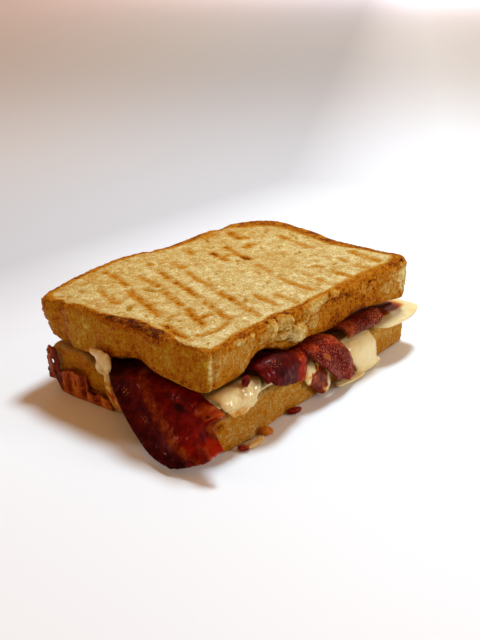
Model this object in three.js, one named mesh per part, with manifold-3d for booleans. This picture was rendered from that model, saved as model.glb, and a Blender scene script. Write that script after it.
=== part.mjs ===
// A grilled cheese and bacon sandwich, in millimetres, +Z up.
// Two thick slices of a wide tin loaf hold a melted cheese sheet and four bacon rashers.
// +X runs along the long side of the slices, +Y across them, towards the domed top of the loaf.
// The origin is the middle of the lower slice's flat underside, where the sandwich rests.
import * as THREE from "three";
import { mergeVertices } from "three/addons/utils/BufferGeometryUtils.js";
import Module from "manifold-3d";

// ---------------------------------------------------------------- driving sizes

const SLICE_LENGTH = 139; // the slice along X, crust to crust
const SLICE_WIDTH = 94; // the slice along Y, without the dome of the loaf
const LOWER_THICK = 15.5; // the lower slice, pressed a little by the grill
const UPPER_UNDERSIDE = 25.9; // height at which the upper slice starts
const STACK_HEIGHT = 42.9; // height of the whole sandwich
const SHOULDER_RADIUS = 2.8; // rounding of the crust at the face on top
const UPPER_FOOT_RADIUS = 2.6; // rounding of the upper slice's crust over the filling
const LOWER_FOOT_RADIUS = 1.6; // rounding of the lower slice's crust at the table
const GAP = 0.3; // clearance between neighbouring pieces

const CHEESE_THICK = 3.4; // the melted sheet inside the sandwich
const RASHER_THICK = 2.3;

const colours = {
  crust: 0xb87a30,
  toast: 0xd9b96e,
  cheese: 0xe8cf8a,
  crisp: 0x9a4f18,
  bacon: 0x7a2418,
  crumb: 0xc9a062,
};

// ---------------------------------------------------------------- small helpers

const clamp = (x, low, high) => Math.min(high, Math.max(low, x));

// 1 at the centre and 0 from the given radius on, smooth at both ends.
function bump(distance, radius) {
  const t = clamp(1 - Math.abs(distance) / radius, 0, 1);
  return t * t * (3 - 2 * t);
}

// 0 below the first edge, 1 above the second.
function ramp(x, low, high) {
  const t = clamp((x - low) / (high - low), 0, 1);
  return t * t * (3 - 2 * t);
}

// A geometry whose shared vertices are merged, so that it is one closed surface.
function closed(geometry) {
  geometry.deleteAttribute("normal");
  geometry.deleteAttribute("uv");
  return mergeVertices(geometry, 1e-4);
}

// Turns every triangle round if the surface would otherwise face inwards.
function facingOut(geometry) {
  const [a, b, c] = [0, 1, 2].map(() => new THREE.Vector3());
  const { position } = geometry.attributes;
  const index = geometry.index.array;
  let volume = 0;
  for (let i = 0; i < index.length; i += 3) {
    a.fromBufferAttribute(position, index[i]);
    b.fromBufferAttribute(position, index[i + 1]);
    c.fromBufferAttribute(position, index[i + 2]);
    volume += a.dot(b.cross(c));
  }
  if (volume < 0) index.reverse();
  return geometry;
}

// A box of unit half-size, cut into a grid, whose every vertex (u, v, w) goes to place(u, v, w).
function mappedBox(cutsU, cutsV, cutsW, place) {
  const geometry = closed(
    new THREE.BoxGeometry(2, 2, 2, cutsU, cutsV, cutsW),
  );
  const position = geometry.attributes.position;
  for (let i = 0; i < position.count; i++) {
    const [x, y, z] = place(
      position.getX(i),
      position.getY(i),
      position.getZ(i),
    );
    position.setXYZ(i, x, y, z);
  }
  return facingOut(geometry);
}

// ---------------------------------------------------------------- bread

// Half of a rounded edge, unrolled: how far in and how far down a point lies that is
// the given distance along the surface from the middle of the rounding.
function roundedEdge(distance, radius) {
  const half = (radius * Math.PI) / 4;
  const angle = Math.PI / 4 + Math.min(distance, half) / radius;
  const beyond = Math.max(distance - half, 0);
  return {
    inward: radius * (1 - Math.cos(angle)) + beyond,
    down: radius * (1 - Math.sin(angle)),
  };
}

// The slice's outline in plan for a point (u, v) on the rim of the unit square.
// Each corner has its own sharpness: the loaf is boxy below and rounder at its domed top.
function loafOutline(u, v, slice) {
  const east = ramp(u, -0.6, 0.6);
  const north = ramp(v, -0.6, 0.6);
  const { nw, sw, se, ne } = slice.sharpness;
  const n =
    (1 - east) * (north * nw + (1 - north) * sw) +
    east * (north * ne + (1 - north) * se);
  const scale = Math.pow(Math.pow(Math.abs(u), n) + Math.pow(Math.abs(v), n), -1 / n);
  const pu = u * scale;
  const pv = v * scale;
  let x = (pu * slice.length) / 2;
  let y = (pv * slice.width) / 2;
  // the crust swells and shrinks a little round the loaf
  const turn = Math.atan2(pv, pu);
  const swell =
    0.5 * Math.sin(3 * turn + slice.phase) +
    0.4 * Math.sin(7 * turn + 2 * slice.phase) +
    0.25 * Math.sin(13 * turn + 3 * slice.phase);
  x += swell * pu;
  y += swell * pv;
  const [plainX, plainY] = [x, y];
  for (const f of slice.features) {
    const along = f.side === "x" ? plainY : plainX;
    const facing = (f.side === "x" ? pu : pv) * f.facing;
    const push = f.depth * bump(along - f.at, f.reach) * ramp(facing, 0.3, 0.9);
    if (f.side === "x") x += push * f.facing;
    else y += push * f.facing;
  }
  return [x, y];
}

// Moves a point of the outline inwards: square to the crust near it, and further in
// straight towards the middle. Without a distance, it gives the way to the middle.
function inset([x, y], distance, slice) {
  const square = 10;
  const first = Math.min(distance ?? square, square);
  const cx = x * (1 - (2 * first) / slice.length);
  const cy = y * (1 - (2 * first) / slice.width);
  const reach = Math.hypot(cx, cy);
  if (distance === undefined) return square + reach;
  const share = Math.max(0, 1 - Math.max(0, distance - square) / reach);
  return [cx * share, cy * share];
}

// A slice of bread: top and bottom face, rounded crust edges and a bulging side.
function breadSlice(slice) {
  const [cutsU, cutsV, cutsW] = [24, 18, 5];
  const crowd = 1.6; // more rows near the rim, where the crust turns over
  return mappedBox(cutsU, cutsV, cutsW, (u, v, w) => {
    const r = w > 0 ? SHOULDER_RADIUS : slice.foot;
    const unrolled = (Math.PI / 4) * r - r;
    const ring = Math.max(Math.abs(u), Math.abs(v));
    const [qu, qv] = ring > 0 ? [u / ring, v / ring] : [1, 0];
    const rim = loafOutline(qu, qv, slice);
    const onSide = ring > 1 - 1e-6;
    // across the face, from the rim inwards
    const across = Math.pow(1 - ring, crowd) * (inset(rim, undefined, slice) + unrolled);
    const face = roundedEdge(across, r);
    // down the side, from the rim to mid height
    const half = (slice.topside(...rim) - slice.underside(...rim)) / 2;
    const side = roundedEdge((1 - Math.abs(w)) * (half + unrolled), r);
    const [x, y] = inset(rim, onSide ? side.down : face.inward, slice);
    const down = onSide ? side.inward : face.down;
    const low = slice.underside(x, y);
    const high = slice.topside(x, y);
    const z = w > 0 ? high - down : low + down;
    // the crust draws in, or spreads, towards its foot
    const depth = Math.pow((high - z) / (high - low), 2);
    const lean = 1 - slice.undercut(x, y) * depth;
    const [east, north] = slice.footing(x, y);
    return [
      x * lean + east * depth + slice.shift[0],
      y * lean + north * depth + slice.shift[1],
      z,
    ];
  });
}

// The lower slice's upper face, which curls up at one short end.
function lowerTopside(x, y) {
  const curl = 4.6 * ramp(-x, 44, 66) * ramp(y, 12, 26);
  return LOWER_THICK - 0.4 * bump(Math.hypot(x, y), 60) + curl;
}

const lowerSlice = {
  length: SLICE_LENGTH - 2,
  width: SLICE_WIDTH - 1,
  sharpness: { nw: 20, sw: 26, se: 22, ne: 9 },
  phase: 1.3,
  shift: [0.8, 0.4],
  foot: LOWER_FOOT_RADIUS,
  features: [
    { side: "x", facing: 1, at: -46, reach: 26, depth: 5.2 },
    { side: "x", facing: -1, at: 28, reach: 7, depth: -1.2 },
    { side: "y", facing: 1, at: -22, reach: 40, depth: 5 },
  ],
  underside: () => 0,
  undercut: () => 0.012,
  topside: lowerTopside,
  // pulled in at the short end by the table, spread along the long side
  footing: (x, y) => {
    const spread = 0.4 + 1.2 * ramp(-x, -56, -36) + 2.9 * ramp(-x, 28, 52);
    const east = 2.2 * ramp(-x, 54, 66) * ramp(y, -40, -20);
    return [east * (1 - 0.5 * ramp(y, 16, 26)), -spread * ramp(-y, 30, 44)];
  },
};

// The upper slice lies over the filling: it sags where there is none and lifts over the rashers.
function upperUnderside(x, y) {
  const at = (px, py, radius) => bump(Math.hypot(x - px, y - py), radius);
  return (
    UPPER_UNDERSIDE -
    2.6 * ramp(x, -20, 2) * ramp(y, 4, 30) -
    2.4 * ramp(x, 30, 58) * ramp(y, -20, 4) -
    5.4 * at(-72, 33, 36) -
    1.9 * at(-71, -38, 16) +
    2.6 * at(-71, -10, 14) +
    6.8 * at(-37, -48, 20) +
    2 * at(-9, -48, 16) +
    2.6 * at(29, -48, 22) -
    2 * at(64, -47, 12)
  );
}

const upperSlice = {
  length: SLICE_LENGTH,
  width: SLICE_WIDTH + 1,
  sharpness: { nw: 24, sw: 32, se: 24, ne: 9 },
  phase: 4.1,
  shift: [0.4, 1],
  foot: UPPER_FOOT_RADIUS,
  features: [
    { side: "x", facing: 1, at: 22, reach: 34, depth: 6.8 },
    { side: "x", facing: 1, at: 36, reach: 16, depth: 2 },
    { side: "x", facing: 1, at: -28, reach: 14, depth: 1.2 },
    { side: "x", facing: 1, at: -46, reach: 10, depth: -1 },
    { side: "x", facing: -1, at: 42, reach: 14, depth: 0.9 },
    { side: "x", facing: -1, at: 30, reach: 5, depth: -1.8 },
    { side: "x", facing: -1, at: -9, reach: 11, depth: -1.4 },
    { side: "y", facing: 1, at: -24, reach: 36, depth: 7.4 },
    { side: "y", facing: 1, at: 30, reach: 70, depth: 3.5 },
    { side: "y", facing: 1, at: 46, reach: 7, depth: -2.2 },
    { side: "y", facing: 1, at: -1.5, reach: 4, depth: -1.6 },
    { side: "y", facing: 1, at: -46, reach: 22, depth: 2.6 },
    { side: "y", facing: 1, at: -64, reach: 26, depth: 3.6 },
    { side: "y", facing: -1, at: -26, reach: 12, depth: -1.4 },
  ],
  underside: upperUnderside,
  undercut: (x, y) => 0.06 * bump(Math.hypot(x + 70, y - 46), 40),
  footing: () => [0, 0],
  topside: (x, y) =>
    STACK_HEIGHT -
    2 * bump(Math.hypot(x + 71, y - 44), 24) +
    0.3 * Math.sin(x / 11) * Math.sin(y / 13),
};

// ---------------------------------------------------------------- strips bent along a profile

// A smooth line through points of the plane, at t from 0 to 1.
function smoothLine(points) {
  const curve = new THREE.CatmullRomCurve3(
    points.map(([a, b]) => new THREE.Vector3(a, b, 0)),
    false,
    "catmullrom",
    0.5,
  );
  curve.arcLengthDivisions = 400;
  return curve;
}

// A profile measured in millimetres from its point with index zero. It runs on straight
// past both ends, and gives the place and the normal there.
function profileCurve(points, zero) {
  const curve = smoothLine(points);
  const total = curve.getLength();
  const lengths = curve.getLengths();
  const start =
    lengths[Math.round((zero / (points.length - 1)) * (lengths.length - 1))];
  return (s) => {
    const wanted = s + start;
    const t = clamp(wanted / total, 0, 1);
    const point = curve.getPointAt(t);
    const tangent = curve.getTangentAt(t);
    point.addScaledVector(tangent, wanted - t * total);
    return { a: point.x, b: point.y, normalA: -tangent.y, normalB: tangent.x };
  };
}

// A strip of food that was flat and then bent along a profile. Flat, it lies between two
// edge lines through (s, e) points: s is measured along the profile, e along the straight axis.
// The profile is drawn in (x, z) or (y, z), whichever the strip's axis leaves free.
function bentStrip(strip) {
  const at = profileCurve(strip.profile, strip.zero);
  const edges = strip.edges.map(smoothLine);
  const [cutsT, cutsAcross] = strip.cuts;
  return mappedBox(cutsT, 1, cutsAcross, (u, side, v) => {
    const t = ((u + 1) / 2) * (1 - clamp(strip.endCut(v), 0, 0.5));
    const [near, far] = edges.map((edge) => edge.getPoint(t));
    const point = near.lerp(far, (v + 1) / 2);
    const thin =
      Math.sqrt(1 - 0.75 * Math.pow(Math.abs(v), 6)) *
      Math.sqrt(1 - 0.6 * Math.pow(Math.abs(u), 12));
    const lift =
      strip.ripple(t, v, point.x, point.y) + (side * thin * strip.thick(t, v)) / 2;
    const p = at(point.x);
    const a = p.a + p.normalA * lift * strip.outward;
    const b = p.b + p.normalB * lift * strip.outward;
    return strip.axis === "y" ? [a, point.y, b] : [point.y, a, b];
  });
}

// ---------------------------------------------------------------- bacon

// The rasher that slides out over the short side and down to the table.
const frontRasher = {
  axis: "y",
  profile: [
    [-24, 22.2],
    [-48, 22.2],
    [-60, 22.8],
    [-67.4, 22.4],
    [-73, 18.6],
    [-78.2, 11.8],
    [-82.2, 5.4],
    [-86, 2.2],
  ],
  zero: 3,
  edges: [
    [
      [-24, 30],
      [-10, 14.5],
      [3.4, 5.6],
      [13.4, -7],
      [22.4, -20],
      [27.6, -33],
      [28.8, -46],
    ],
    [
      [-42, 14],
      [-27, -5],
      [-13, -23],
      [-2, -39],
      [3, -55.5],
      [9, -55],
      [15.6, -61],
    ],
  ],
  cuts: [28, 8],
  outward: 1,
  thick: () => RASHER_THICK,
  endCut: (v) => 0.03 * (1 - v * v) * -1 + 0.03,
  ripple: (t, v, s) => {
    const free = ramp(s, -4, 6);
    return (
      0.8 * free * Math.sin(13 * t + 1.5 * v) +
      0.5 * free * Math.sin(7 * v) -
      2.6 * ramp(v, 0.5, 1) * bump(t - 0.78, 0.2)
    );
  },
};

// The rasher that bulges out under the torn crust, its far end hanging a little lower.
const foldedRasher = {
  axis: "x",
  profile: [
    [-20, 22.4],
    [-31, 22.6],
    [-40.5, 26.2],
    [-47.6, 28.6],
    [-52, 25],
    [-52.2, 18.6],
    [-51, 12],
  ],
  zero: 3,
  edges: [
    [
      [-30, -41],
      [-15, -42.5],
      [0, -44.5],
      [8, -42.5],
    ],
    [
      [-30, -17],
      [-12, -16],
      [4, -15.5],
      [18.5, -15],
    ],
  ],
  cuts: [20, 9],
  outward: -1,
  thick: () => RASHER_THICK,
  endCut: () => 0,
  ripple: (t, v, s) =>
    1.6 * bump(v + 0.35, 0.8) * ramp(s, -4, 4) -
    1.2 * ramp(v, 0.3, 0.6) * ramp(s, -2, 6) -
    3 * ramp(v, -0.4, 0.8) * bump(s + 4, 11),
};

// The rasher that hangs flat over the lower slice.
const flapRasher = {
  axis: "x",
  profile: [
    [-20, 22.4],
    [-32, 22.6],
    [-42, 24.6],
    [-48.6, 24.2],
    [-51.6, 18],
    [-52.8, 10],
    [-53.6, 3],
  ],
  zero: 3,
  edges: [
    [
      [-28, -13],
      [-14, -13.2],
      [-2, -13.6],
      [6, -8],
      [13, -0.5],
      [18.5, 5],
    ],
    [
      [-28, 1.5],
      [-14, 2],
      [-4, 5],
      [4.5, 11],
      [12, 15.8],
      [21.5, 18.4],
    ],
  ],
  cuts: [22, 7],
  outward: -1,
  thick: () => RASHER_THICK,
  endCut: () => 0,
  ripple: (t, v, s) => {
    const free = ramp(s, 0, 6);
    return 0.5 * free * Math.sin(11 * t) + 0.4 * free * Math.sin(5 * v);
  },
};

// The rasher that lies along the long side with its outer edge rolled over.
const rolledRasher = {
  axis: "x",
  profile: [
    [-14, 22.2],
    [-28, 22.2],
    [-38, 23.3],
    [-45.6, 25.3],
    [-49.8, 23.6],
    [-48.8, 20.8],
    [-45.2, 20.2],
  ],
  zero: 3,
  edges: [
    [
      [-25, 15],
      [-24, 26],
      [-23, 36],
      [-22, 46],
      [-20, 62],
    ],
    [
      [-8, 11.5],
      [5, 15.5],
      [10.5, 22],
      [11, 32],
      [7.5, 41],
      [-3, 46],
      [-3, 62],
    ],
  ],
  cuts: [22, 9],
  outward: -1,
  thick: () => RASHER_THICK,
  endCut: () => 0,
  ripple: (t, v, s, e) =>
    0.3 * Math.sin(12 * t) * ramp(s, -6, 4) - 3 * ramp(e, 41, 50) * ramp(v, -0.6, 0.4),
};

// ---------------------------------------------------------------- cheese

// The sheet inside the sandwich, with a soft rounded rim.
function cheeseSheet() {
  const [west, east, south, north] = [-66.2, 33.5, -46, 42.6];
  return mappedBox(20, 14, 2, (u, v, w) => {
    const round = Math.pow(Math.pow(Math.abs(u), 8) + Math.pow(Math.abs(v), 8), -1 / 8);
    const ring = Math.max(Math.abs(u), Math.abs(v));
    const pull = ring > 0 ? 1 + (ring * round * ring - ring) / ring : 1;
    const thin = Math.pow(Math.max(Math.abs(u), Math.abs(v)), 10);
    const bulge = 1.2 * (1 - w * w) * thin;
    const y = (south + north) / 2 + ((north - south) / 2 + bulge) * v * pull;
    // the sheet stops short of the end that curls up
    const edge = west + 25 * ramp(y, 12, 22);
    const x = (edge + east) / 2 + ((east - edge) / 2 + bulge) * u * pull;
    const wave = 0.7 * thin * Math.sin(x / 5) * Math.cos(y / 6);
    const heap = 2.4 * ramp(x, -16, 4) * ramp(y, -8, 12) * (1 - 0.3 * thin);
    const thick = CHEESE_THICK - 0.5 * thin + wave * 0.4 + heap;
    return [x, y + wave, lowerTopside(x, y) + GAP + 0.25 * ramp(-x, 26, 38) + ((w + 1) / 2) * thick];
  });
}

// How the cheese turns over the lower slice's long crust, down to a given foot.
const overLongCrust = (foot) => [
  [-36, 17.6],
  [-43, 17.8],
  [-47.2, 16.6],
  [-48.6, 12.6],
  [-48.8, 8],
  ...foot,
];

// A drape of melted cheese: it leaves the sheet, turns over the crust and runs down the side.
const drape = (spec) => ({
  outward: spec.axis === "y" ? 1 : -1,
  zero: 1,
  cuts: [12, 6],
  endCut: (v) => 0.1 * v * v,
  ripple: () => 0,
  ...spec,
  thick: (t, v) => spec.bulk * (1 - 0.25 * v * v),
});

const wideDrape = drape({
  axis: "x",
  bulk: 3.1,
  cuts: [14, 7],
  endCut: (v) => 0.06 * v * v,
  profile: [
    [-36, 17.4],
    [-43, 17.45],
    [-47.6, 16.1],
    [-50, 12.6],
    [-50.4, 8],
    [-50.8, 1.8],
  ],
  edges: [
    [
      [-6, 15],
      [5, 16],
      [11, 18],
      [16, 22],
      [21.4, 25.6],
    ],
    [
      [-6, 37],
      [4, 37.4],
      [10, 38.4],
      [16, 39],
      [19, 43],
      [21, 40],
    ],
  ],
});

// The thin tongue on the table in front of the wide drape.
const tableDrape = drape({
  axis: "x",
  bulk: 1.6,
  cuts: [5, 5],
  endCut: (v) => 0.02 * v * v,
  profile: [
    [-48.6, 2.4],
    [-50, 2],
    [-53.6, 1.4],
  ],
  edges: [
    [
      [-1.4, 10],
      [0, 8.4],
      [2, 9],
      [3.4, 14],
    ],
    [
      [-1.4, 27],
      [0, 30],
      [2, 28.4],
      [3.8, 25.4],
    ],
  ],
});

const flakeDrape = drape({
  axis: "x",
  bulk: 2.6,
  endCut: (v) => 0.08 * v * v,
  profile: overLongCrust([
    [-49.2, 4],
    [-50, 1],
  ]),
  edges: [
    [
      [-6, -17],
      [3, -16],
      [8, -14],
      [13, -10.5],
      [17, -6],
      [20, -3],
    ],
    [
      [-6, -5],
      [3, -4],
      [8.4, 1.6],
      [12, 4.6],
      [17, 5],
      [20, 2.6],
    ],
  ],
});

const glossyDrape = drape({
  axis: "x",
  bulk: 3.6,
  profile: [
    [-34, 18.4],
    [-41, 21],
    [-46, 22.4],
    [-49.2, 19.4],
    [-49.8, 13],
  ],
  zero: 2,
  cuts: [10, 7],
  edges: [
    [
      [-10, -65],
      [0, -65.6],
      [5, -64.5],
      [7.5, -60],
    ],
    [
      [-10, -41],
      [-1, -40],
      [3, -41.5],
      [7, -45],
    ],
  ],
});

const lowDrape = drape({
  axis: "x",
  bulk: 1.7,
  cuts: [10, 6],
  profile: overLongCrust([
    [-49.2, 4],
    [-50.6, 1],
  ]),
  edges: [
    [
      [-6, -60],
      [4, -60.5],
      [9.5, -58],
    ],
    [
      [-6, -42],
      [3, -43],
      [8.5, -42],
    ],
  ],
});

const thinRun = drape({
  axis: "y",
  bulk: 1.9,
  cuts: [12, 4],
  endCut: (v) => 0.06 * v * v,
  profile: [
    [-60, 17.6],
    [-66, 18.6],
    [-70, 17.4],
    [-70.6, 12],
    [-69.8, 6],
    [-68.4, 2.4],
  ],
  edges: [
    [
      [-5, 13],
      [4, 9.6],
      [10, 8],
      [16, 6.6],
      [19, 4.4],
    ],
    [
      [-5, 4],
      [4, 5.4],
      [9, 3.4],
      [14, -0.6],
      [19, -2.4],
    ],
  ],
});

// A soft blob: a ball stretched to the given half-sizes.
function blob([x, y, z], [a, b, c]) {
  return closed(new THREE.SphereGeometry(1, 12, 8))
    .scale(a, c, b)
    .rotateX(Math.PI / 2)
    .translate(x, y, z);
}

// The thin slice whose corner sticks out at the sandwich's corner, drawn between its
// four corners, with a front edge that bows out.
function cornerSlice() {
  const low = LOWER_THICK + GAP;
  const corners = { sw: [42.5, -51.4], se: [76.4, -49.6], nw: [36.5, 40], ne: [68, 42] };
  const between = (u, v, k) => {
    const [e, n] = [(u + 1) / 2, (v + 1) / 2];
    const south = corners.sw[k] * (1 - e) + corners.se[k] * e;
    const north = corners.nw[k] * (1 - e) + corners.ne[k] * e;
    return south * (1 - n) + north * n;
  };
  return mappedBox(9, 16, 1, (u, v, w) => {
    const n = 16;
    const ring = Math.max(Math.abs(u), Math.abs(v));
    const square = Math.pow(Math.abs(u), n) + Math.pow(Math.abs(v), n);
    const pull = ring > 0 ? 1 + ring * (ring * Math.pow(square, -1 / n) - 1) : 1;
    const x = between(u * pull, v * pull, 0);
    const bow = 3.4 * (1 - u * u) * ramp(-v, 0.6, 1);
    const y = between(u * pull, v * pull, 1) - bow;
    const outside = ramp(-y, 44, 56) + ramp(x, 69, 77);
    const heap = 1.2 * ramp(y, -32, -8);
    const thick = 3 + heap - 1.1 * Math.pow(ring, 10);
    return [x, y, low + 1.5 + heap / 2 + 0.5 * outside + (w * thick) / 2];
  });
}

// ---------------------------------------------------------------- crisp skirt and crumbs

// Cheese that ran out on the hot plate and set into a thin crisp fringe, tallest at the corner.
function crispSkirt() {
  const path = new THREE.CatmullRomCurve3(
    [
      [-68.3, 8],
      [-68.6, 15.5],
      [-69.2, 23],
      [-69.9, 30.5],
      [-69.6, 38],
      [-71, 44.8],
    ].map(([x, y]) => new THREE.Vector3(x, y, 0)),
  );
  return mappedBox(24, 1, 5, (u, side, w) => {
    const t = (u + 1) / 2;
    const point = path.getPointAt(t);
    const tangent = path.getTangentAt(t);
    const height =
      5.4 +
      7 * ramp(t, 0.33, 0.39) -
      2.6 * ramp(t, 0.62, 0.78) +
      11.4 * ramp(t, 0.8, 0.86);
    const h = (w + 1) / 2;
    const flute = 0.5 * Math.sin(34 * t) * ramp(h, 0, 0.5);
    const lift = flute - 1.6 * Math.pow(1 - h, 2) + 0.6 * side * (1 - 0.35 * h);
    const foot = 0.35 + 5.2 * ramp(t, 0.78, 0.9);
    return [
      point.x - tangent.y * lift,
      point.y + tangent.x * lift,
      foot + (height - foot) * h,
    ];
  });
}

// Bits that broke off, at the base and on the cheese: place, half-sizes and turn about Z.
const crumbs = {
  crisp_bead: { at: [-42.2, -52.1, 1.9], half: [2.9, 1.9, 1.8], turn: -0.87, colour: "crisp" },
  cheese_flake: { at: [-50, -53.6, 1.1], half: [5.2, 1.9, 1], turn: 0.1, colour: "cheese" },
  bacon_bit_near: { at: [-57.2, -53, 1.4], half: [2.3, 1.4, 1.3], turn: -0.87, colour: "bacon" },
  bacon_bit_far: { at: [-20.8, -49.9, 1.4], half: [3.6, 1.3, 1.3], turn: -0.28, colour: "bacon" },
  bacon_chip: { at: [-51.2, -49.2, 26.1], half: [2.4, 1.2, 2.3], turn: 0.1, colour: "bacon" },
};

function crumb({ at, half, turn }) {
  return closed(new THREE.IcosahedronGeometry(1, 1))
    .scale(...half)
    .rotateZ(turn)
    .translate(...at);
}

// ---------------------------------------------------------------- joining

const wasm = await Module();
wasm.setup();

function solidOf(geometry) {
  return new wasm.Manifold(
    new wasm.Mesh({
      numProp: 3,
      vertProperties: new Float32Array(geometry.attributes.position.array),
      triVerts: new Uint32Array(geometry.index.array),
    }),
  );
}

function geometryOf(solid) {
  const mesh = solid.getMesh();
  return new THREE.BufferGeometry()
    .setAttribute(
      "position",
      new THREE.BufferAttribute(new Float32Array(mesh.vertProperties), 3),
    )
    .setIndex(new THREE.BufferAttribute(new Uint32Array(mesh.triVerts), 1));
}

// Joins closed geometries into one, and evens out the slivers the joins leave.
function joined(geometries) {
  const sliver = 0.02;
  const all = geometries.map(solidOf).reduce((sum, next) => sum.add(next));
  return geometryOf(all.simplify(sliver));
}

const meltedCheese = joined([
  cheeseSheet(),
  bentStrip(wideDrape),
  bentStrip(tableDrape),
  bentStrip(flakeDrape),
  bentStrip(glossyDrape),
  bentStrip(lowDrape),
  bentStrip(thinRun),
  blob([-69.6, 11, 20.4], [2.6, 2.8, 3.4]),
  blob([-71.8, 8, 25.2], [1.7, 5, 4.6]),
  blob([28, -50.2, 2.8], [3.2, 1.6, 1.7]),
]);

// ---------------------------------------------------------------- the sandwich

const sandwich = new THREE.Group();

function addPiece(name, geometry, colour, roughness) {
  const material = new THREE.MeshStandardMaterial({
    color: colours[colour],
    roughness,
    metalness: 0,
  });
  const mesh = new THREE.Mesh(geometry, material);
  mesh.name = name;
  sandwich.add(mesh);
}

addPiece("bread_bottom", breadSlice(lowerSlice), "crust", 0.85);
addPiece("bread_top", breadSlice(upperSlice), "toast", 0.85);
addPiece("cheese_melt", meltedCheese, "cheese", 0.35);
addPiece("cheese_corner", cornerSlice(), "cheese", 0.4);
addPiece("cheese_skirt", crispSkirt(), "crisp", 0.5);
addPiece("bacon_front", bentStrip(frontRasher), "bacon", 0.35);
addPiece("bacon_fold", bentStrip(foldedRasher), "bacon", 0.35);
addPiece("bacon_flap", bentStrip(flapRasher), "bacon", 0.4);
addPiece("bacon_roll", bentStrip(rolledRasher), "bacon", 0.4);
for (const [name, spec] of Object.entries(crumbs))
  addPiece(name, crumb(spec), spec.colour, 0.5);

export default sandwich;
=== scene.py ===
"""A grilled cheese and bacon sandwich, dressed for its picture.

Every piece is worked out in millimetres, +Z up, with the origin in the middle of the
flat underside, and is turned to metres when its mesh is finished.
"""

import logging
import math
from dataclasses import dataclass
from enum import Enum
from functools import partial
from typing import Any, Callable, ClassVar, Iterable, Sequence

import bmesh
import bpy
import numpy as np
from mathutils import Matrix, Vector


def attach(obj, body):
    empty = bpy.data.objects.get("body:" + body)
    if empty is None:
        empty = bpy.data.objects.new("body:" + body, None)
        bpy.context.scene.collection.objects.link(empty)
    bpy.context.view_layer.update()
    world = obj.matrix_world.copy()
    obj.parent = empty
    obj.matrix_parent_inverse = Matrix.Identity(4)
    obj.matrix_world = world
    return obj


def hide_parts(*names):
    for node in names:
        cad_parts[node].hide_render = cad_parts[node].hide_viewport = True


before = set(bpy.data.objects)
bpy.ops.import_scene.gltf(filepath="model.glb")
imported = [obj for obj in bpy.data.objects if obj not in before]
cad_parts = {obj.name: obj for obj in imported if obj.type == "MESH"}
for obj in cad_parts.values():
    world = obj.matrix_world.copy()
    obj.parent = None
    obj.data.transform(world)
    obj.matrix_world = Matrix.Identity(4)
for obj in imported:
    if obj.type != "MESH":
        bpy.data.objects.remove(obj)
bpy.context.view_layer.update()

Array = np.ndarray
Mesh = bmesh.types.BMesh
Object = bpy.types.Object
Point = tuple[float, ...]
Path = Sequence[Point]

LOG = logging.getLogger("sandwich")
METRES = 0.001  # one millimetre
CURVE_STEPS = 1200  # how finely a profile is measured

# ---------------------------------------------------------------- driving sizes, mm

SLICE_LENGTH = 139.0
SLICE_WIDTH = 94.0
LOWER_THICK = 15.5
UPPER_UNDERSIDE = 25.9
STACK_HEIGHT = 42.9
GAP = 0.3
CHEESE_THICK = 3.4
RASHER_THICK = 2.3


# ---------------------------------------------------------------- small helpers


def eased(share: Array) -> Array:
    """A share from 0 to 1, smooth at both its ends."""
    t = np.clip(share, 0, 1)
    return t * t * (3 - 2 * t)


def bump(distance: Array, radius: float) -> Array:
    """1 at the centre and 0 from the given radius on, smooth at both ends."""
    return eased(1 - np.abs(distance) / radius)


def ramp(value: Array, low: float, high: float) -> Array:
    """0 up to the first edge and 1 from the second on, smooth in between; either may be the lower."""
    return eased((value - low) / (high - low))


def mound(x: Array, y: Array, at_x: float, at_y: float, radius: float) -> Array:
    """A bump of that radius round a point of a plane."""
    return bump(np.hypot(x - at_x, y - at_y), radius)


def stacked(*columns: Array) -> Array:
    """Places from their coordinates, one a row."""
    return np.stack(columns, 1)


def linear(colour: str) -> tuple[float, float, float, float]:
    """Turns a colour as it is seen into the light it stands for.

    Args:
        colour: an sRGB colour, such as "#c8a060".

    Returns:
        The linear red, green, blue and alpha.
    """
    parts = [int(colour[i : i + 2], 16) / 255 for i in (1, 3, 5)]
    red, green, blue = (c / 12.92 if c <= 0.04045 else ((c + 0.055) / 1.055) ** 2.4 for c in parts)
    return red, green, blue, 1.0


@dataclass(frozen=True)
class Grain:
    """Smooth noise in space, the same each time for the same seed."""

    seed: int

    def at(self, points: Array, size: float) -> Array:
        """Noise from about -1 to 1.

        Args:
            points: places in millimetres, one a row.
            size: the width of one swelling, in millimetres.

        Returns:
            One number for each place.
        """
        rng = np.random.default_rng(self.seed)
        order = rng.permutation(256)
        slopes = rng.normal(size=(256, 3))
        slopes /= np.linalg.norm(slopes, axis=1)[:, None]
        place = points / size + 100.0 + self.seed
        cell = np.floor(place).astype(int)
        part = place - cell
        soft = part**3 * (part * (part * 6 - 15) + 10)
        total = np.zeros(len(points))
        for corner in np.ndindex(2, 2, 2):
            x, y, z = ((cell + corner) & 255).T
            slope = slopes[order[(order[(order[x] + y) & 255] + z) & 255]]
            weight = np.prod(np.where(corner, soft, 1 - soft), axis=1)
            total += weight * np.sum(slope * (part - corner), axis=1)
        return total * 1.7

    def rough(self, points: Array, size: float, octaves: int = 3) -> Array:
        """Noise whose finer and finer layers add up, from about -1 to 1."""
        layers = [self.at(points, size / 2**i) / 2**i for i in range(octaves)]
        return np.sum(layers, axis=0) / (2 - 2.0 ** (1 - octaves))


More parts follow.
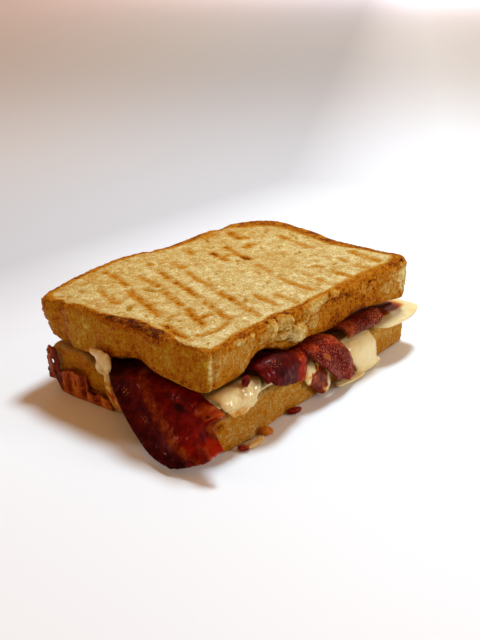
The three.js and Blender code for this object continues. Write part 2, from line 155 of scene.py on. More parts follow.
@dataclass(frozen=True)
class SmoothLine:
    """A smooth line through points of a plane."""

    points: Path

    def at(self, t: Array) -> Array:
        """Places on the line.

        Args:
            t: how far along it each place is, from 0 to 1.

        Returns:
            The places, one a row.
        """
        p = np.array(self.points, float)
        p = np.vstack([2 * p[0] - p[1], p, 2 * p[-1] - p[-2]])
        spans = len(self.points) - 1
        place = np.clip(t, 0, 1) * spans
        i = np.minimum(place.astype(int), spans - 1)
        f = (place - i)[:, None]
        before, here, there, after = p[i], p[i + 1], p[i + 2], p[i + 3]
        leave, arrive = (there - before) / 2, (after - here) / 2
        return (
            here * (2 * f**3 - 3 * f**2 + 1) + leave * (f**3 - 2 * f**2 + f) + there * (3 * f**2 - 2 * f**3)
            + arrive * (f**3 - f**2)
        )


@dataclass(frozen=True)
class Profile:
    """A smooth line that is measured in millimetres from one of its points."""

    points: Path
    zero: int

    def at(self, s: Array) -> tuple[Array, Array]:
        """The places and the normals at a distance along the line.

        Args:
            s: millimetres from the point numbered zero. Past both ends the line runs on straight.

        Returns:
            The places and the unit normals, one a row.
        """
        fine = SmoothLine(self.points).at(np.linspace(0, 1, CURVE_STEPS + 1))
        steps = np.linalg.norm(np.diff(fine, axis=0), axis=1)
        run = np.concatenate([[0], np.cumsum(steps)])
        start = run[round(self.zero / (len(self.points) - 1) * CURVE_STEPS)]
        heading = np.gradient(fine, run, axis=0)
        heading /= np.linalg.norm(heading, axis=1)[:, None]
        wanted = s + start
        inside = np.clip(wanted, 0, run[-1])
        place, way = (stacked(*(np.interp(inside, run, k) for k in line.T)) for line in (fine, heading))
        place = place + way * (wanted - inside)[:, None]
        return place, stacked(-way[:, 1], way[:, 0])


def distance_to_path(points: Array, path: Path) -> tuple[Array, Array]:
    """How far places of a plane lie from a line drawn through some points.

    Args:
        points: the places, one a row.
        path: the points of the line.

    Returns:
        The distances, and how far along the line the nearest point is, from 0 to 1.
    """
    ends = np.array(path, float)
    spans = np.linalg.norm(np.diff(ends, axis=0), axis=1)
    run = np.concatenate([[0], np.cumsum(spans)])
    nearest = np.full(len(points), 1e9)
    along = np.zeros(len(points))
    for a, b, length, start in zip(ends[:-1], ends[1:], spans, run):
        t = np.clip((points - a) @ (b - a) / length**2, 0, 1)
        gap = np.linalg.norm(points - a - t[:, None] * (b - a), axis=1)
        closer = gap < nearest
        nearest = np.where(closer, gap, nearest)
        along = np.where(closer, (start + t * length) / run[-1], along)
    return nearest, along


# ---------------------------------------------------------------- mesh helpers


def grid_block(*cuts: int) -> Mesh:
    """A closed block of half-size one, cut into a grid.

    Args:
        cuts: how many faces it has along x, y and z.

    Returns:
        The block's bmesh.
    """
    bm = bmesh.new()
    bmesh.ops.create_cube(bm, size=2)
    for axis, count in enumerate(cuts):
        along = [e for e in bm.edges if abs(e.verts[0].co[axis] - e.verts[1].co[axis]) > 1e-6]
        if count > 1:
            bmesh.ops.subdivide_edges(bm, edges=along, cuts=count - 1)
    return bm


def loaf_block(across: int, deep: int, rows: int, rings: int, pitch: float = 0.05) -> Mesh:
    """A closed block of half-size one with a fine top, rows down its side and rings below.

    Args:
        across: how many faces the top has along x.
        deep: how many faces the top has along y.
        rows: how many faces the side has, top to bottom.
        rings: how many rings of faces the underside has round its plain middle.
        pitch: the width of one ring, as a share of the half-size.

    Returns:
        The block's bmesh.
    """
    bm = bmesh.new()
    bmesh.ops.create_grid(bm, x_segments=across, y_segments=deep, size=1)
    bmesh.ops.translate(bm, vec=(0, 0, 1), verts=bm.verts)
    rim = [e for e in bm.edges if e.is_boundary]
    for step in range(rows + rings):
        new = bmesh.ops.extrude_edge_only(bm, edges=rim)["geom"]
        verts = [g for g in new if isinstance(g, bmesh.types.BMVert)]
        rim = [g for g in new if isinstance(g, bmesh.types.BMEdge) and g.is_boundary]
        if step < rows:
            bmesh.ops.translate(bm, vec=(0, 0, -2 / rows), verts=verts)
        else:
            share = 1 - pitch * (step - rows + 1)
            size = share / (share + pitch)
            bmesh.ops.scale(bm, vec=(size, size, 1), verts=verts)
    bmesh.ops.triangle_fill(bm, edges=rim, use_beauty=True)
    bmesh.ops.recalc_face_normals(bm, faces=bm.faces)
    return bm


def ball_block(cuts: int) -> Mesh:
    """A ball of radius one.

    Args:
        cuts: how many times its faces are cut in half.

    Returns:
        The ball's bmesh.
    """
    bm = bmesh.new()
    bmesh.ops.create_icosphere(bm, subdivisions=cuts, radius=1)
    return bm


def positions(bm: Mesh) -> Array:
    """Where the vertices of a bmesh are, one a row."""
    return np.array([v.co for v in bm.verts], float)


def finished(bm: Mesh, points: Array, name: str) -> Object:
    """Puts a bmesh's vertices in place and makes it a piece of the scene.

    Args:
        bm: the bmesh, which is freed.
        points: the places of its vertices, in millimetres.
        name: the piece's name.

    Returns:
        The new object, in metres, at the origin.
    """
    mesh = bpy.data.meshes.new(name)
    for vert, place in zip(bm.verts, points):
        vert.co = place
    bmesh.ops.scale(bm, vec=(METRES,) * 3, verts=bm.verts)
    if bm.calc_volume(signed=True) < 0:
        bmesh.ops.reverse_faces(bm, faces=bm.faces)
    for face in bm.faces:
        face.smooth = True
    bm.to_mesh(mesh)
    bm.free()
    piece = bpy.data.objects.new(name, mesh)
    bpy.context.scene.collection.objects.link(piece)
    return piece


def read_rows(values: Any, name: str) -> Array:
    """Reads a direction or a place of each item of a mesh.

    Args:
        values: the mesh's vertices or its normals.
        name: which of their values is read.

    Returns:
        The directions or places, one a row.
    """
    flat = np.empty(len(values) * 3, np.float32)
    values.foreach_get(name, flat)
    return flat.reshape(-1, 3).astype(float)


def mesh_points(piece: Object) -> Array:
    """Where the vertices of a piece are, in millimetres, one a row."""
    return read_rows(piece.data.vertices, "co") / METRES


def mesh_normals(piece: Object) -> Array:
    """Which way the surface of a piece faces at each of its vertices, one a row."""
    return read_rows(piece.data.vertex_normals, "vector")


def raise_by(piece: Object, height: Array) -> None:
    """Moves each vertex of a piece out along its normal.

    Args:
        piece: the piece.
        height: how far each vertex moves, in millimetres.
    """
    points = mesh_points(piece) + mesh_normals(piece) * height[:, None]
    piece.data.vertices.foreach_set("co", (points * METRES).astype(np.float32).ravel())
    piece.data.update()


def paint(piece: Object, **layers: Array) -> None:
    """Stores numbers from 0 to 1 on the vertices of a piece, for its material to read.

    Args:
        piece: the piece.
        layers: a number for each vertex, for each layer.
    """
    for name, values in layers.items():
        layer = piece.data.attributes.new(name, "FLOAT", "POINT")
        layer.data.foreach_set("value", np.clip(values, 0, 1).astype(np.float32))


# ---------------------------------------------------------------- finishes

Socket = bpy.types.NodeSocket
Add = Callable[..., Any]
Clouds = tuple[tuple[float, float, float], ...]

FUSED = {"operation": "MULTIPLY_ADD"}
CLAMPED = {"operation": "MULTIPLY_ADD", "use_clamp": True}
BLEND = {"data_type": "RGBA"}


def add_node(
    tree: bpy.types.NodeTree, kind: str, settings: dict[str, Any], inputs: dict[Any, Any],
    out: str | int = 0,
) -> Socket | None:
    """Adds a node to a material, with its settings and links.

    Args:
        tree: the material's node tree.
        kind: the node's type, without the word that each type starts with.
        settings: properties of the node; "stops" are the places and colours of a ramp.
        inputs: the value, sRGB colour or linked socket for each input, by name or number.
        out: the output that the next node takes, by name or number.

    Returns:
        That output, or None where the node has none.
    """
    node = tree.nodes.new("ShaderNode" + kind)
    for name, value in settings.items():
        if name == "stops":
            elements = node.color_ramp.elements
            while len(elements) < len(value):
                elements.new(1.0)
            for element, (place, colour) in zip(elements, value):
                element.position = place
                element.color = linear(colour)
        else:
            setattr(node, name, value)
    for key, value in inputs.items():
        if isinstance(value, Socket):
            tree.links.new(value, node.inputs[key])
        else:
            node.inputs[key].default_value = linear(value) if isinstance(value, str) else value
    return node.outputs[out] if node.outputs else None


@dataclass(frozen=True)
class Finish:
    """What a piece is made of. Each kind of food adds its own nodes."""

    name: str
    slot: str = ""
    layers: tuple[str, ...] = ()  # the numbers that the vertices carry
    clouds: Clouds = ()  # the noises in it: width in millimetres, detail and roughness

    def material(self) -> bpy.types.Material:
        """Gives the finish's material, and makes it the first time.

        Returns:
            The material.
        """
        found = bpy.data.materials.get(self.name)
        if found:
            return found
        made = bpy.data.materials.new(self.name)
        made.use_nodes = True
        made.node_tree.nodes.clear()
        add = partial(add_node, made.node_tree)
        sockets = [add("TexCoord", {}, {}, "Object")]
        for layer in self.layers:
            sockets.append(add("Attribute", {"attribute_name": layer}, {}, "Fac"))
        for width, detail, rough in self.clouds:
            scale = 1 / (width * METRES)
            noise = {"Vector": sockets[0], "Scale": scale, "Detail": detail, "Roughness": rough}
            sockets.append(add("TexNoise", {}, noise))
        add("OutputMaterial", {}, {"Surface": add("BsdfPrincipled", {}, self.look(add, *sockets))})
        return made

    def look(self, add: Add, *sockets: Socket) -> dict[str, Any]:
        """Adds the nodes of the finish itself.

        Args:
            add: adds a node and gives its output.
            sockets: the place, then the layers, then the clouds.

        Returns:
            The inputs of the shader.
        """
        raise NotImplementedError


@dataclass(frozen=True)
class ToastedBread(Finish):
    """Tin-loaf bread, grilled: dry cream crumb where it is pale, brown and tight where it is baked.

    The vertices carry how far it is baked, how much painted shade lies in its pores and how greasy it is.
    """

    name: str = "toasted_white_bread"
    slot: str = "crust"
    layers: tuple[str, ...] = ("bake", "pore", "grease")
    clouds: Clouds = ((0.8, 3.0, 0.62), (3.4, 4.0, 0.55))

    def look(self, add: Add, *sockets: Socket) -> dict[str, Any]:
        """Adds the flecks, the toasted colours, the painted shade of the pores and the butter.

        Args:
            add: adds a node and gives its output.
            sockets: the place, then the layers, then the clouds.

        Returns:
            The inputs of the shader.
        """
        _, bake, pore, grease, fleck, mottle = sockets
        crisp = add("MapRange", {}, {"Value": fleck, "From Min": 0.36, "From Max": 0.64})
        flecked = add("Math", FUSED, {0: crisp, 1: 0.28, 2: bake})
        mottled = add("Math", FUSED, {0: mottle, 1: 0.44, 2: flecked})
        level = add("Math", {"operation": "SUBTRACT"}, {0: mottled, 1: 0.38})
        pale = ((0.0, "#dfd2a1"), (0.14, "#c8b06f"), (0.3, "#b79049"), (0.42, "#b47b24"))
        brown = ((0.54, "#b06d02"), (0.68, "#914b00"), (0.86, "#602800"), (1.0, "#260c00"))
        colour = add("ValToRGB", {"stops": pale + brown}, {"Fac": level})
        # painted shade: the pores are darkened towards olive brown
        shaded = add("Mix", BLEND, {"Factor": pore, 6: colour, 7: "#a3720c"}, 2)
        buttery = {"Factor": grease, 6: shaded, 7: "#fff270"}
        return {
            "Base Color": add("Mix", {**BLEND, "blend_type": "MULTIPLY"}, buttery, 2),
            "Roughness": add("MapRange", {}, {"Value": grease, "To Min": 0.78, "To Max": 0.36}),
            "IOR": 1.42, "Specular IOR Level": 0.05,
            "Normal": add("Bump", {}, {"Height": fleck, "Strength": 0.8, "Distance": 0.7 * METRES}),
            "Subsurface Weight": 0.1, "Subsurface Radius": (0.9, 0.5, 0.25),
            "Subsurface Scale": 1.2 * METRES,
        }


@dataclass(frozen=True)
class FriedBacon(Finish):
    """Smoked streaky bacon, fried: dark red glossy lean with golden translucent fat and burnt tips.

    The vertices carry how much of it is fat, how far it is burnt, how much fine grain and painted glint it
    has, and how red it is.
    """

    name: str = "fried_bacon"
    slot: str = "bacon"
    layers: tuple[str, ...] = ("fat", "char", "speck", "tone")
    clouds: Clouds = ((0.8, 3.0, 0.6), (4.0, 3.0, 0.55), (0.65, 1.0, 0.5))

    def look(self, add: Add, *sockets: Socket) -> dict[str, Any]:
        """Adds the lean, the fat in it, the grain with its painted glints, the burnt places and the wet
        patches.

        Args:
            add: adds a node and gives its output.
            sockets: the place, then the layers, then the clouds.

        Returns:
            The inputs of the shader.
        """
        _, fat, char, speck, tone, fibre, patch, grains = sockets
        redness = add("Math", CLAMPED, {0: patch, 1: 0.55, 2: tone})
        dark = ((0.45, "#1c0001"), (0.6, "#3c0102"), (0.75, "#620301"))
        lean = add("ValToRGB", {"stops": (*dark, (0.9, "#8e0c01"), (1.0, "#ab2605"))}, {"Fac": redness})
        golden = ((0.3, "#762802"), (0.5, "#964006"), (0.7, "#b36c22"))
        fatty = add("ValToRGB", {"stops": golden}, {"Fac": patch})
        streaked = add("Math", CLAMPED, {0: fibre, 1: 0.9, 2: fat})
        edge = add("MapRange", {}, {"Value": streaked, "From Min": 0.64, "From Max": 1.24})
        meat = add("Mix", BLEND, {"Factor": edge, 6: lean, 7: fatty}, 2)
        # pale pink flecks: the grain of the meat, also used as painted glints
        grain = add("MapRange", {}, {"Value": grains, "From Min": 0.5, "From Max": 0.68, "To Max": 0.7})
        grain_and_glint_share = add("Math", {"operation": "MULTIPLY"}, {0: grain, 1: speck})
        grain_and_glint_colour = add("Mix", BLEND, {"Factor": grain_and_glint_share, 6: meat, 7: "#c47148"}, 2)
        wet = {"Value": patch, "From Min": 0.48, "From Max": 0.6, "To Max": 0.36}
        return {
            "Base Color": add("Mix", BLEND, {"Factor": char, 6: grain_and_glint_colour, 7: "#100201"}, 2), "Roughness": 0.5,
            "IOR": 1.45, "Specular IOR Level": 0.05,
            "Normal": add("Bump", {}, {"Height": fibre, "Strength": 0.5, "Distance": 0.4 * METRES}),
            "Subsurface Weight": 0.08, "Subsurface Radius": (1.0, 0.2, 0.1),
            "Subsurface Scale": 1.5 * METRES, "Coat Weight": add("MapRange", {}, wet),
            "Coat Roughness": 0.14, "Coat IOR": 1.28,
        }


@dataclass(frozen=True)
class MeltedCheese(Finish):
    """Mild cheese, melted and set again: pale ivory yellow, smooth, waxy and a little see-through.

    The vertices carry how far it is browned.
    """

    name: str = "melted_mild_cheese"
    slot: str = "cheese"
    layers: tuple[str, ...] = ("browned",)
    clouds: Clouds = ((9.0, 3.0, 0.5),)

    def look(self, add: Add, *sockets: Socket) -> dict[str, Any]:
        """Adds the clouded ivory, the browned places and the gloss of the rest.

        Args:
            add: adds a node and gives its output.
            sockets: the place, then the layers, then the clouds.

        Returns:
            The inputs of the shader.
        """
        _, browned, cloud = sockets
        level = add("Math", CLAMPED, {0: cloud, 1: 0.24, 2: browned})
        pale = ((0.05, "#ebe1b4"), (0.2, "#e4d292"), (0.4, "#cd942c"))
        stops = (*pale, (0.62, "#a23c04"), (1.0, "#541100"))
        gloss = {"Value": level, "From Min": 0.25, "From Max": 0.5, "To Min": 0.7, "To Max": 0.08}
        return {
            "Base Color": add("ValToRGB", {"stops": stops}, {"Fac": level}), "Roughness": 0.36, "IOR": 1.45,
            "Specular IOR Level": 0.1,
            "Normal": add("Bump", {}, {"Height": cloud, "Strength": 0.35, "Distance": 0.6 * METRES}),
            "Subsurface Weight": 0.24, "Subsurface Radius": (1.0, 0.7, 0.35),
            "Subsurface Scale": 1.6 * METRES, "Coat Weight": add("MapRange", {}, gloss),
            "Coat Roughness": 0.1,
        }


@dataclass(frozen=True)
class CrispCheese(Finish):
    """Cheese fried to a lace on the hot plate: thin, brittle, brown and greasy.

    The vertices carry how far it is browned.
    """

    name: str = "crisp_fried_cheese"
    slot: str = "crisp"
    layers: tuple[str, ...] = ("browned",)
    clouds: Clouds = ((1.3, 3.0, 0.6),)

    def look(self, add: Add, *sockets: Socket) -> dict[str, Any]:
        """Adds the bubbled brown of the fried cheese.

        Args:
            add: adds a node and gives its output.
            sockets: the place, then the layers, then the clouds.

        Returns:
            The inputs of the shader.
        """
        _, browned, bubble = sockets
        level = add("Math", CLAMPED, {0: bubble, 1: 0.5, 2: browned})
        stops = ((0.15, "#cc8c28"), (0.42, "#b25607"), (0.7, "#7a2600"), (1.0, "#280600"))
        return {
            "Base Color": add("ValToRGB", {"stops": stops}, {"Fac": level}), "Roughness": 0.5, "IOR": 1.47,
            "Specular IOR Level": 0.08,
            "Normal": add("Bump", {}, {"Height": bubble, "Strength": 0.6, "Distance": 0.4 * METRES}),
            "Coat Weight": 0.1, "Coat Roughness": 0.15,
        }


@dataclass(frozen=True)
class StudioPaper(Finish):
    """Matt white backdrop paper under the food, with painted shade that makes it a little warmer and darker
    far back from the food.
    """

    name: str = "studio_paper"

    def look(self, add: Add, *sockets: Socket) -> dict[str, Any]:
        """Adds the white, with painted shade that dims it away from the food.

        Args:
            add: adds a node and gives its output.
            sockets: the place, then the layers, then the clouds.

        Returns:
            The inputs of the shader.
        """
        # painted shade: the paper darkens and warms away from the food
        ways = []
        for way, start in (((-0.6, 1, 0), -0.13), ((0, 1, 0), 0.07)):
            along = add("VectorMath", {"operation": "DOT_PRODUCT"}, {0: sockets[0], 1: way}, "Value")
            ways.append(add("MapRange", {}, {"Value": along, "From Min": start, "From Max": 0.8}))
        falloff_shade = add("Math", {"operation": "MINIMUM"}, {0: ways[0], 1: ways[1]})
        near = ((0.0, "#eff4f5"), (0.065, "#e4e7e9"), (0.108, "#d7d9da"), (0.161, "#c2c3c4"))
        far = ((0.29, "#c3c3c3"), (0.46, "#cac6c1"), (0.68, "#d0c8c0"), (1.0, "#d8cabd"))
        tone = add("ValToRGB", {"stops": near + far}, {"Fac": falloff_shade})
        return {"Base Color": tone, "Roughness": 0.6, "Specular IOR Level": 0.2}


@dataclass
class Food:
    """A piece of the sandwich, which stands for one of its plain solids."""

    finish: ClassVar[Finish]
    name: str
    node: str

    def build(self) -> Object:
        """Builds the piece's mesh, with the layers that its finish reads."""
        raise NotImplementedError

    def dress(self, piece: Object) -> None:
        """Gives the piece its finish and lets it stand for its plain solid.

        Args:
            piece: the piece, built and in place.
        """
        piece.data.materials.append(self.finish.material())
        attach(piece, "root")
        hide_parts(self.node)
        piece.data.calc_loop_triangles()
        LOG.info("%s: %d triangles", piece.name, len(piece.data.loop_triangles))



# ---------------------------------------------------------------- bread


@dataclass(frozen=True)
class Swell:
    """A place where the crust of a slice bulges out, or in if its depth is negative.

    side is the axis it faces along, facing which way, at where along the other axis.
    """

    side: str
    facing: int
    at: float
    reach: float
    depth: float


@dataclass(frozen=True)
class Corners:
    """How sharp the four corners of a slice are."""

    nw: float
    sw: float
    se: float
    ne: float


@dataclass(frozen=True)
class Mark:
    """A burnt line where a rib of the grill pressed the bread."""

    path: Path
    width: float
    strength: float


@dataclass(frozen=True)
class Pore:
    """A hole in the crumb: place, half-sizes, turn in degrees, depth and how dark its painted shade is."""

    x: float
    y: float
    long: float
    short: float
    turn: float
    depth: float
    dark: float


@dataclass(frozen=True)
class Patch:
    """A soft patch on a face: place and half-sizes on the face, how high it stands and its bake."""

    a: float
    b: float
    half_a: float
    half_b: float
    height: float
    bake: float


@dataclass
class LoafSlice(Food):
    """A slice of a wide tin loaf, with rounded crust edges and a bulging side."""

    finish: ClassVar[Finish] = ToastedBread()
    length: float
    width: float
    sharpness: Corners
    phase: float  # where the waves of the crust start
    shift: tuple[float, float]
    swells: tuple[Swell, ...]
    cuts: tuple[int, int, int, int]
    shoulder: float = 2.8  # rounding of the crust at the upper face
    foot: float = 2.6  # rounding of the crust at the lower face
    crowd: float = 1.25  # how much finer the faces are at the rim than in the middle
    seed: int = 5
    square: float = 10.0  # how far in from the crust an inset stays square to it

    def underside(self, x: Array, y: Array) -> Array:
        """The height of the slice's lower face."""
        return np.zeros_like(x)

    def topside(self, x: Array, y: Array) -> Array:
        """The height of the slice's upper face."""
        raise NotImplementedError

    def undercut(self, x: Array, y: Array) -> Array:
        """How much the crust draws in at its foot, as a share."""
        return np.full_like(x, 0.012)

    def footing(self, x: Array, _y: Array) -> tuple[Array, Array]:
        """How far the foot of the crust is set off from the slice, along x and y."""
        return np.zeros_like(x), np.zeros_like(x)

    def outline(self, u: Array, v: Array) -> tuple[Array, Array]:
        """The slice's outline in plan.

        Args:
            u: across the rim of the unit square.
            v: up the rim of the unit square.

        Returns:
            The places x and y on the crust.
        """
        east, north = ramp(u, -0.6, 0.6), ramp(v, -0.6, 0.6)
        c = self.sharpness
        n = (1 - east) * (north * c.nw + (1 - north) * c.sw) + east * (north * c.ne + (1 - north) * c.se)
        scale = (np.abs(u) ** n + np.abs(v) ** n) ** (-1 / n)
        pu, pv = u * scale, v * scale
        turn = np.arctan2(pv, pu)
        swell = (
            0.5 * np.sin(3 * turn + self.phase) + 0.4 * np.sin(7 * turn + 2 * self.phase)
            + 0.25 * np.sin(13 * turn + 3 * self.phase)
        )
        x = pu * self.length / 2 + swell * pu
        y = pv * self.width / 2 + swell * pv
        plain = {"x": y.copy(), "y": x.copy()}
        for s in self.swells:
            facing = (pu if s.side == "x" else pv) * s.facing
            push = s.depth * bump(plain[s.side] - s.at, s.reach)
            push = push * ramp(facing, 0.3, 0.9) * s.facing
            x = x + push if s.side == "x" else x
            y = y + push if s.side == "y" else y
        return x, y

    def inset(self, x: Array, y: Array, distance: Array) -> tuple[Array, Array]:
        """Moves places of the outline inwards.

        Args:
            x: across.
            y: up.
            distance: how far in, in millimetres.

        Returns:
            The places, moved square to the crust at first and then towards the middle.
        """
        first = np.minimum(distance, self.square)
        cx = x * (1 - 2 * first / self.length)
        cy = y * (1 - 2 * first / self.width)
        reach = np.hypot(cx, cy)
        share = np.maximum(0, 1 - np.maximum(0, distance - self.square) / reach)
        return cx * share, cy * share

    def place(self, block: Array) -> tuple[Array, Array]:
        """Maps a unit block onto the slice.

        Args:
            block: the places of the block's vertices.

        Returns:
            The places on the slice, and how far each lies from the middle of the rounding
            at the rim: in across the face above 0, down the side below 0.
        """
        u, v, w = block.T
        ring = np.maximum(np.abs(u), np.abs(v))
        safe = np.maximum(ring, 1e-9)
        qu = np.where(ring > 1e-9, u / safe, 1.0)
        qv = np.where(ring > 1e-9, v / safe, 0.0)
        rim_x, rim_y = self.outline(qu, qv)
        on_side = ring > 1 - 1e-6
        radius = np.where(w > 0, self.shoulder, self.foot)
        unrolled = (math.pi / 4 - 1) * radius
        square = self.inset(rim_x, rim_y, np.full_like(u, self.square))
        reach = self.square + np.hypot(*square)
        across = (1 - np.minimum(ring, 1)) ** self.crowd * (reach + unrolled)
        half = (self.topside(rim_x, rim_y) - self.underside(rim_x, rim_y)) / 2
        along = (1 - np.abs(w)) * (half + unrolled)
        distance = np.where(on_side, along, across)
        quarter = radius * math.pi / 4
        angle = math.pi / 4 + np.minimum(distance, quarter) / radius
        inward = radius * (1 - np.cos(angle)) + np.maximum(distance - quarter, 0)
        down = radius * (1 - np.sin(angle))
        x, y = self.inset(rim_x, rim_y, np.where(on_side, down, inward))
        drop = np.where(on_side, inward, down)
        low, high = self.underside(x, y), self.topside(x, y)
        z = np.where(w > 0, high - drop, low + drop)
        depth = ((high - z) / (high - low)) ** 2
        lean = 1 - self.undercut(x, y) * depth
        east, north = self.footing(x, y)
        x = x * lean + east * depth + self.shift[0]
        y = y * lean + north * depth + self.shift[1]
        points = stacked(x, y, z)
        return points, np.where(on_side, -along, across)

    def relief(self, points: Array, normals: Array, rim: Array) -> tuple[Array, dict[str, Array]]:
        """The bread's own surface, over its plain shape.

        Args:
            points: the places on the plain slice.
            normals: which way they face.
            rim: how far they lie from the middle of the rounding at the rim.

        Returns:
            How far each place stands out, and the layers that the finish reads.
        """
        raise NotImplementedError

    def build(self) -> Object:
        """Builds the slice and its relief.

        Returns:
            The slice.
        """
        bm = loaf_block(*self.cuts)
        points, rim = self.place(positions(bm))
        piece = finished(bm, points, self.name)
        height, layers = self.relief(points, mesh_normals(piece), rim)
        raise_by(piece, height)
        paint(piece, **layers)
        return piece

    def clods(self, points: Array) -> Array:
        """Rounded lumps down a side: 0 in the creases between them and 1 on top of them."""
        return np.clip(2.4 * np.abs(Grain(self.seed + 5).rough(points, 3.4)), 0, 1)

    def crumb(self, points: Array) -> Array:
        """The fine grain of bread, from about -1 to 1."""
        g = Grain(self.seed)
        return 0.5 * g.at(points, 1.3) + 0.35 * g.at(points, 2.9) + 0.3 * g.at(points, 7)


def pits(plane: Array, pores: Iterable[Pore], edge: float = 0.35) -> tuple[Array, Array]:
    """Sinks holes into a face.

    Args:
        plane: the places on the face, one a row.
        pores: the holes.
        edge: how much of a hole's size its soft edge takes.

    Returns:
        How deep each place lies, and how dark the painted shade of the holes makes it.
    """
    depth = np.zeros(len(plane))
    dark = np.zeros(len(plane))
    for p in pores:
        near = np.flatnonzero(
            (np.abs(plane[:, 0] - p.x) < p.long + p.short) & (np.abs(plane[:, 1] - p.y) < p.long + p.short)
        )
        if not len(near):
            continue
        dx, dy = (plane[near] - (p.x, p.y)).T
        c, s = math.cos(math.radians(p.turn)), math.sin(math.radians(p.turn))
        gap = np.hypot((dx * c + dy * s) / p.long, (dy * c - dx * s) / p.short)
        sunk = ramp(gap, 1, edge)
        depth[near] = np.maximum(depth[near], sunk * p.depth)
        dark[near] = np.maximum(dark[near], sunk * p.dark)
    return depth, dark


def scattered_pores(rng: np.random.Generator, count: int, box: Point) -> list[Pore]:
    """Small holes strewn over a face.

    Args:
        rng: where the random numbers come from.
        count: how many there are.
        box: the lowest and highest x, and the lowest and highest y.

    Returns:
        The holes.
    """
    pores = []
    for _ in range(count):
        size = 0.45 + 0.9 * rng.random() ** 2.2
        x, y = rng.uniform(box[0], box[1]), rng.uniform(box[2], box[3])
        long, turn = size * rng.uniform(1.0, 1.9), rng.uniform(0, 180)
        depth, dark = 0.25 + 0.3 * size * rng.random(), 0.12 + 0.4 * rng.random() ** 2
        pores.append(Pore(x, y, long, size, turn, depth, dark))
    return pores


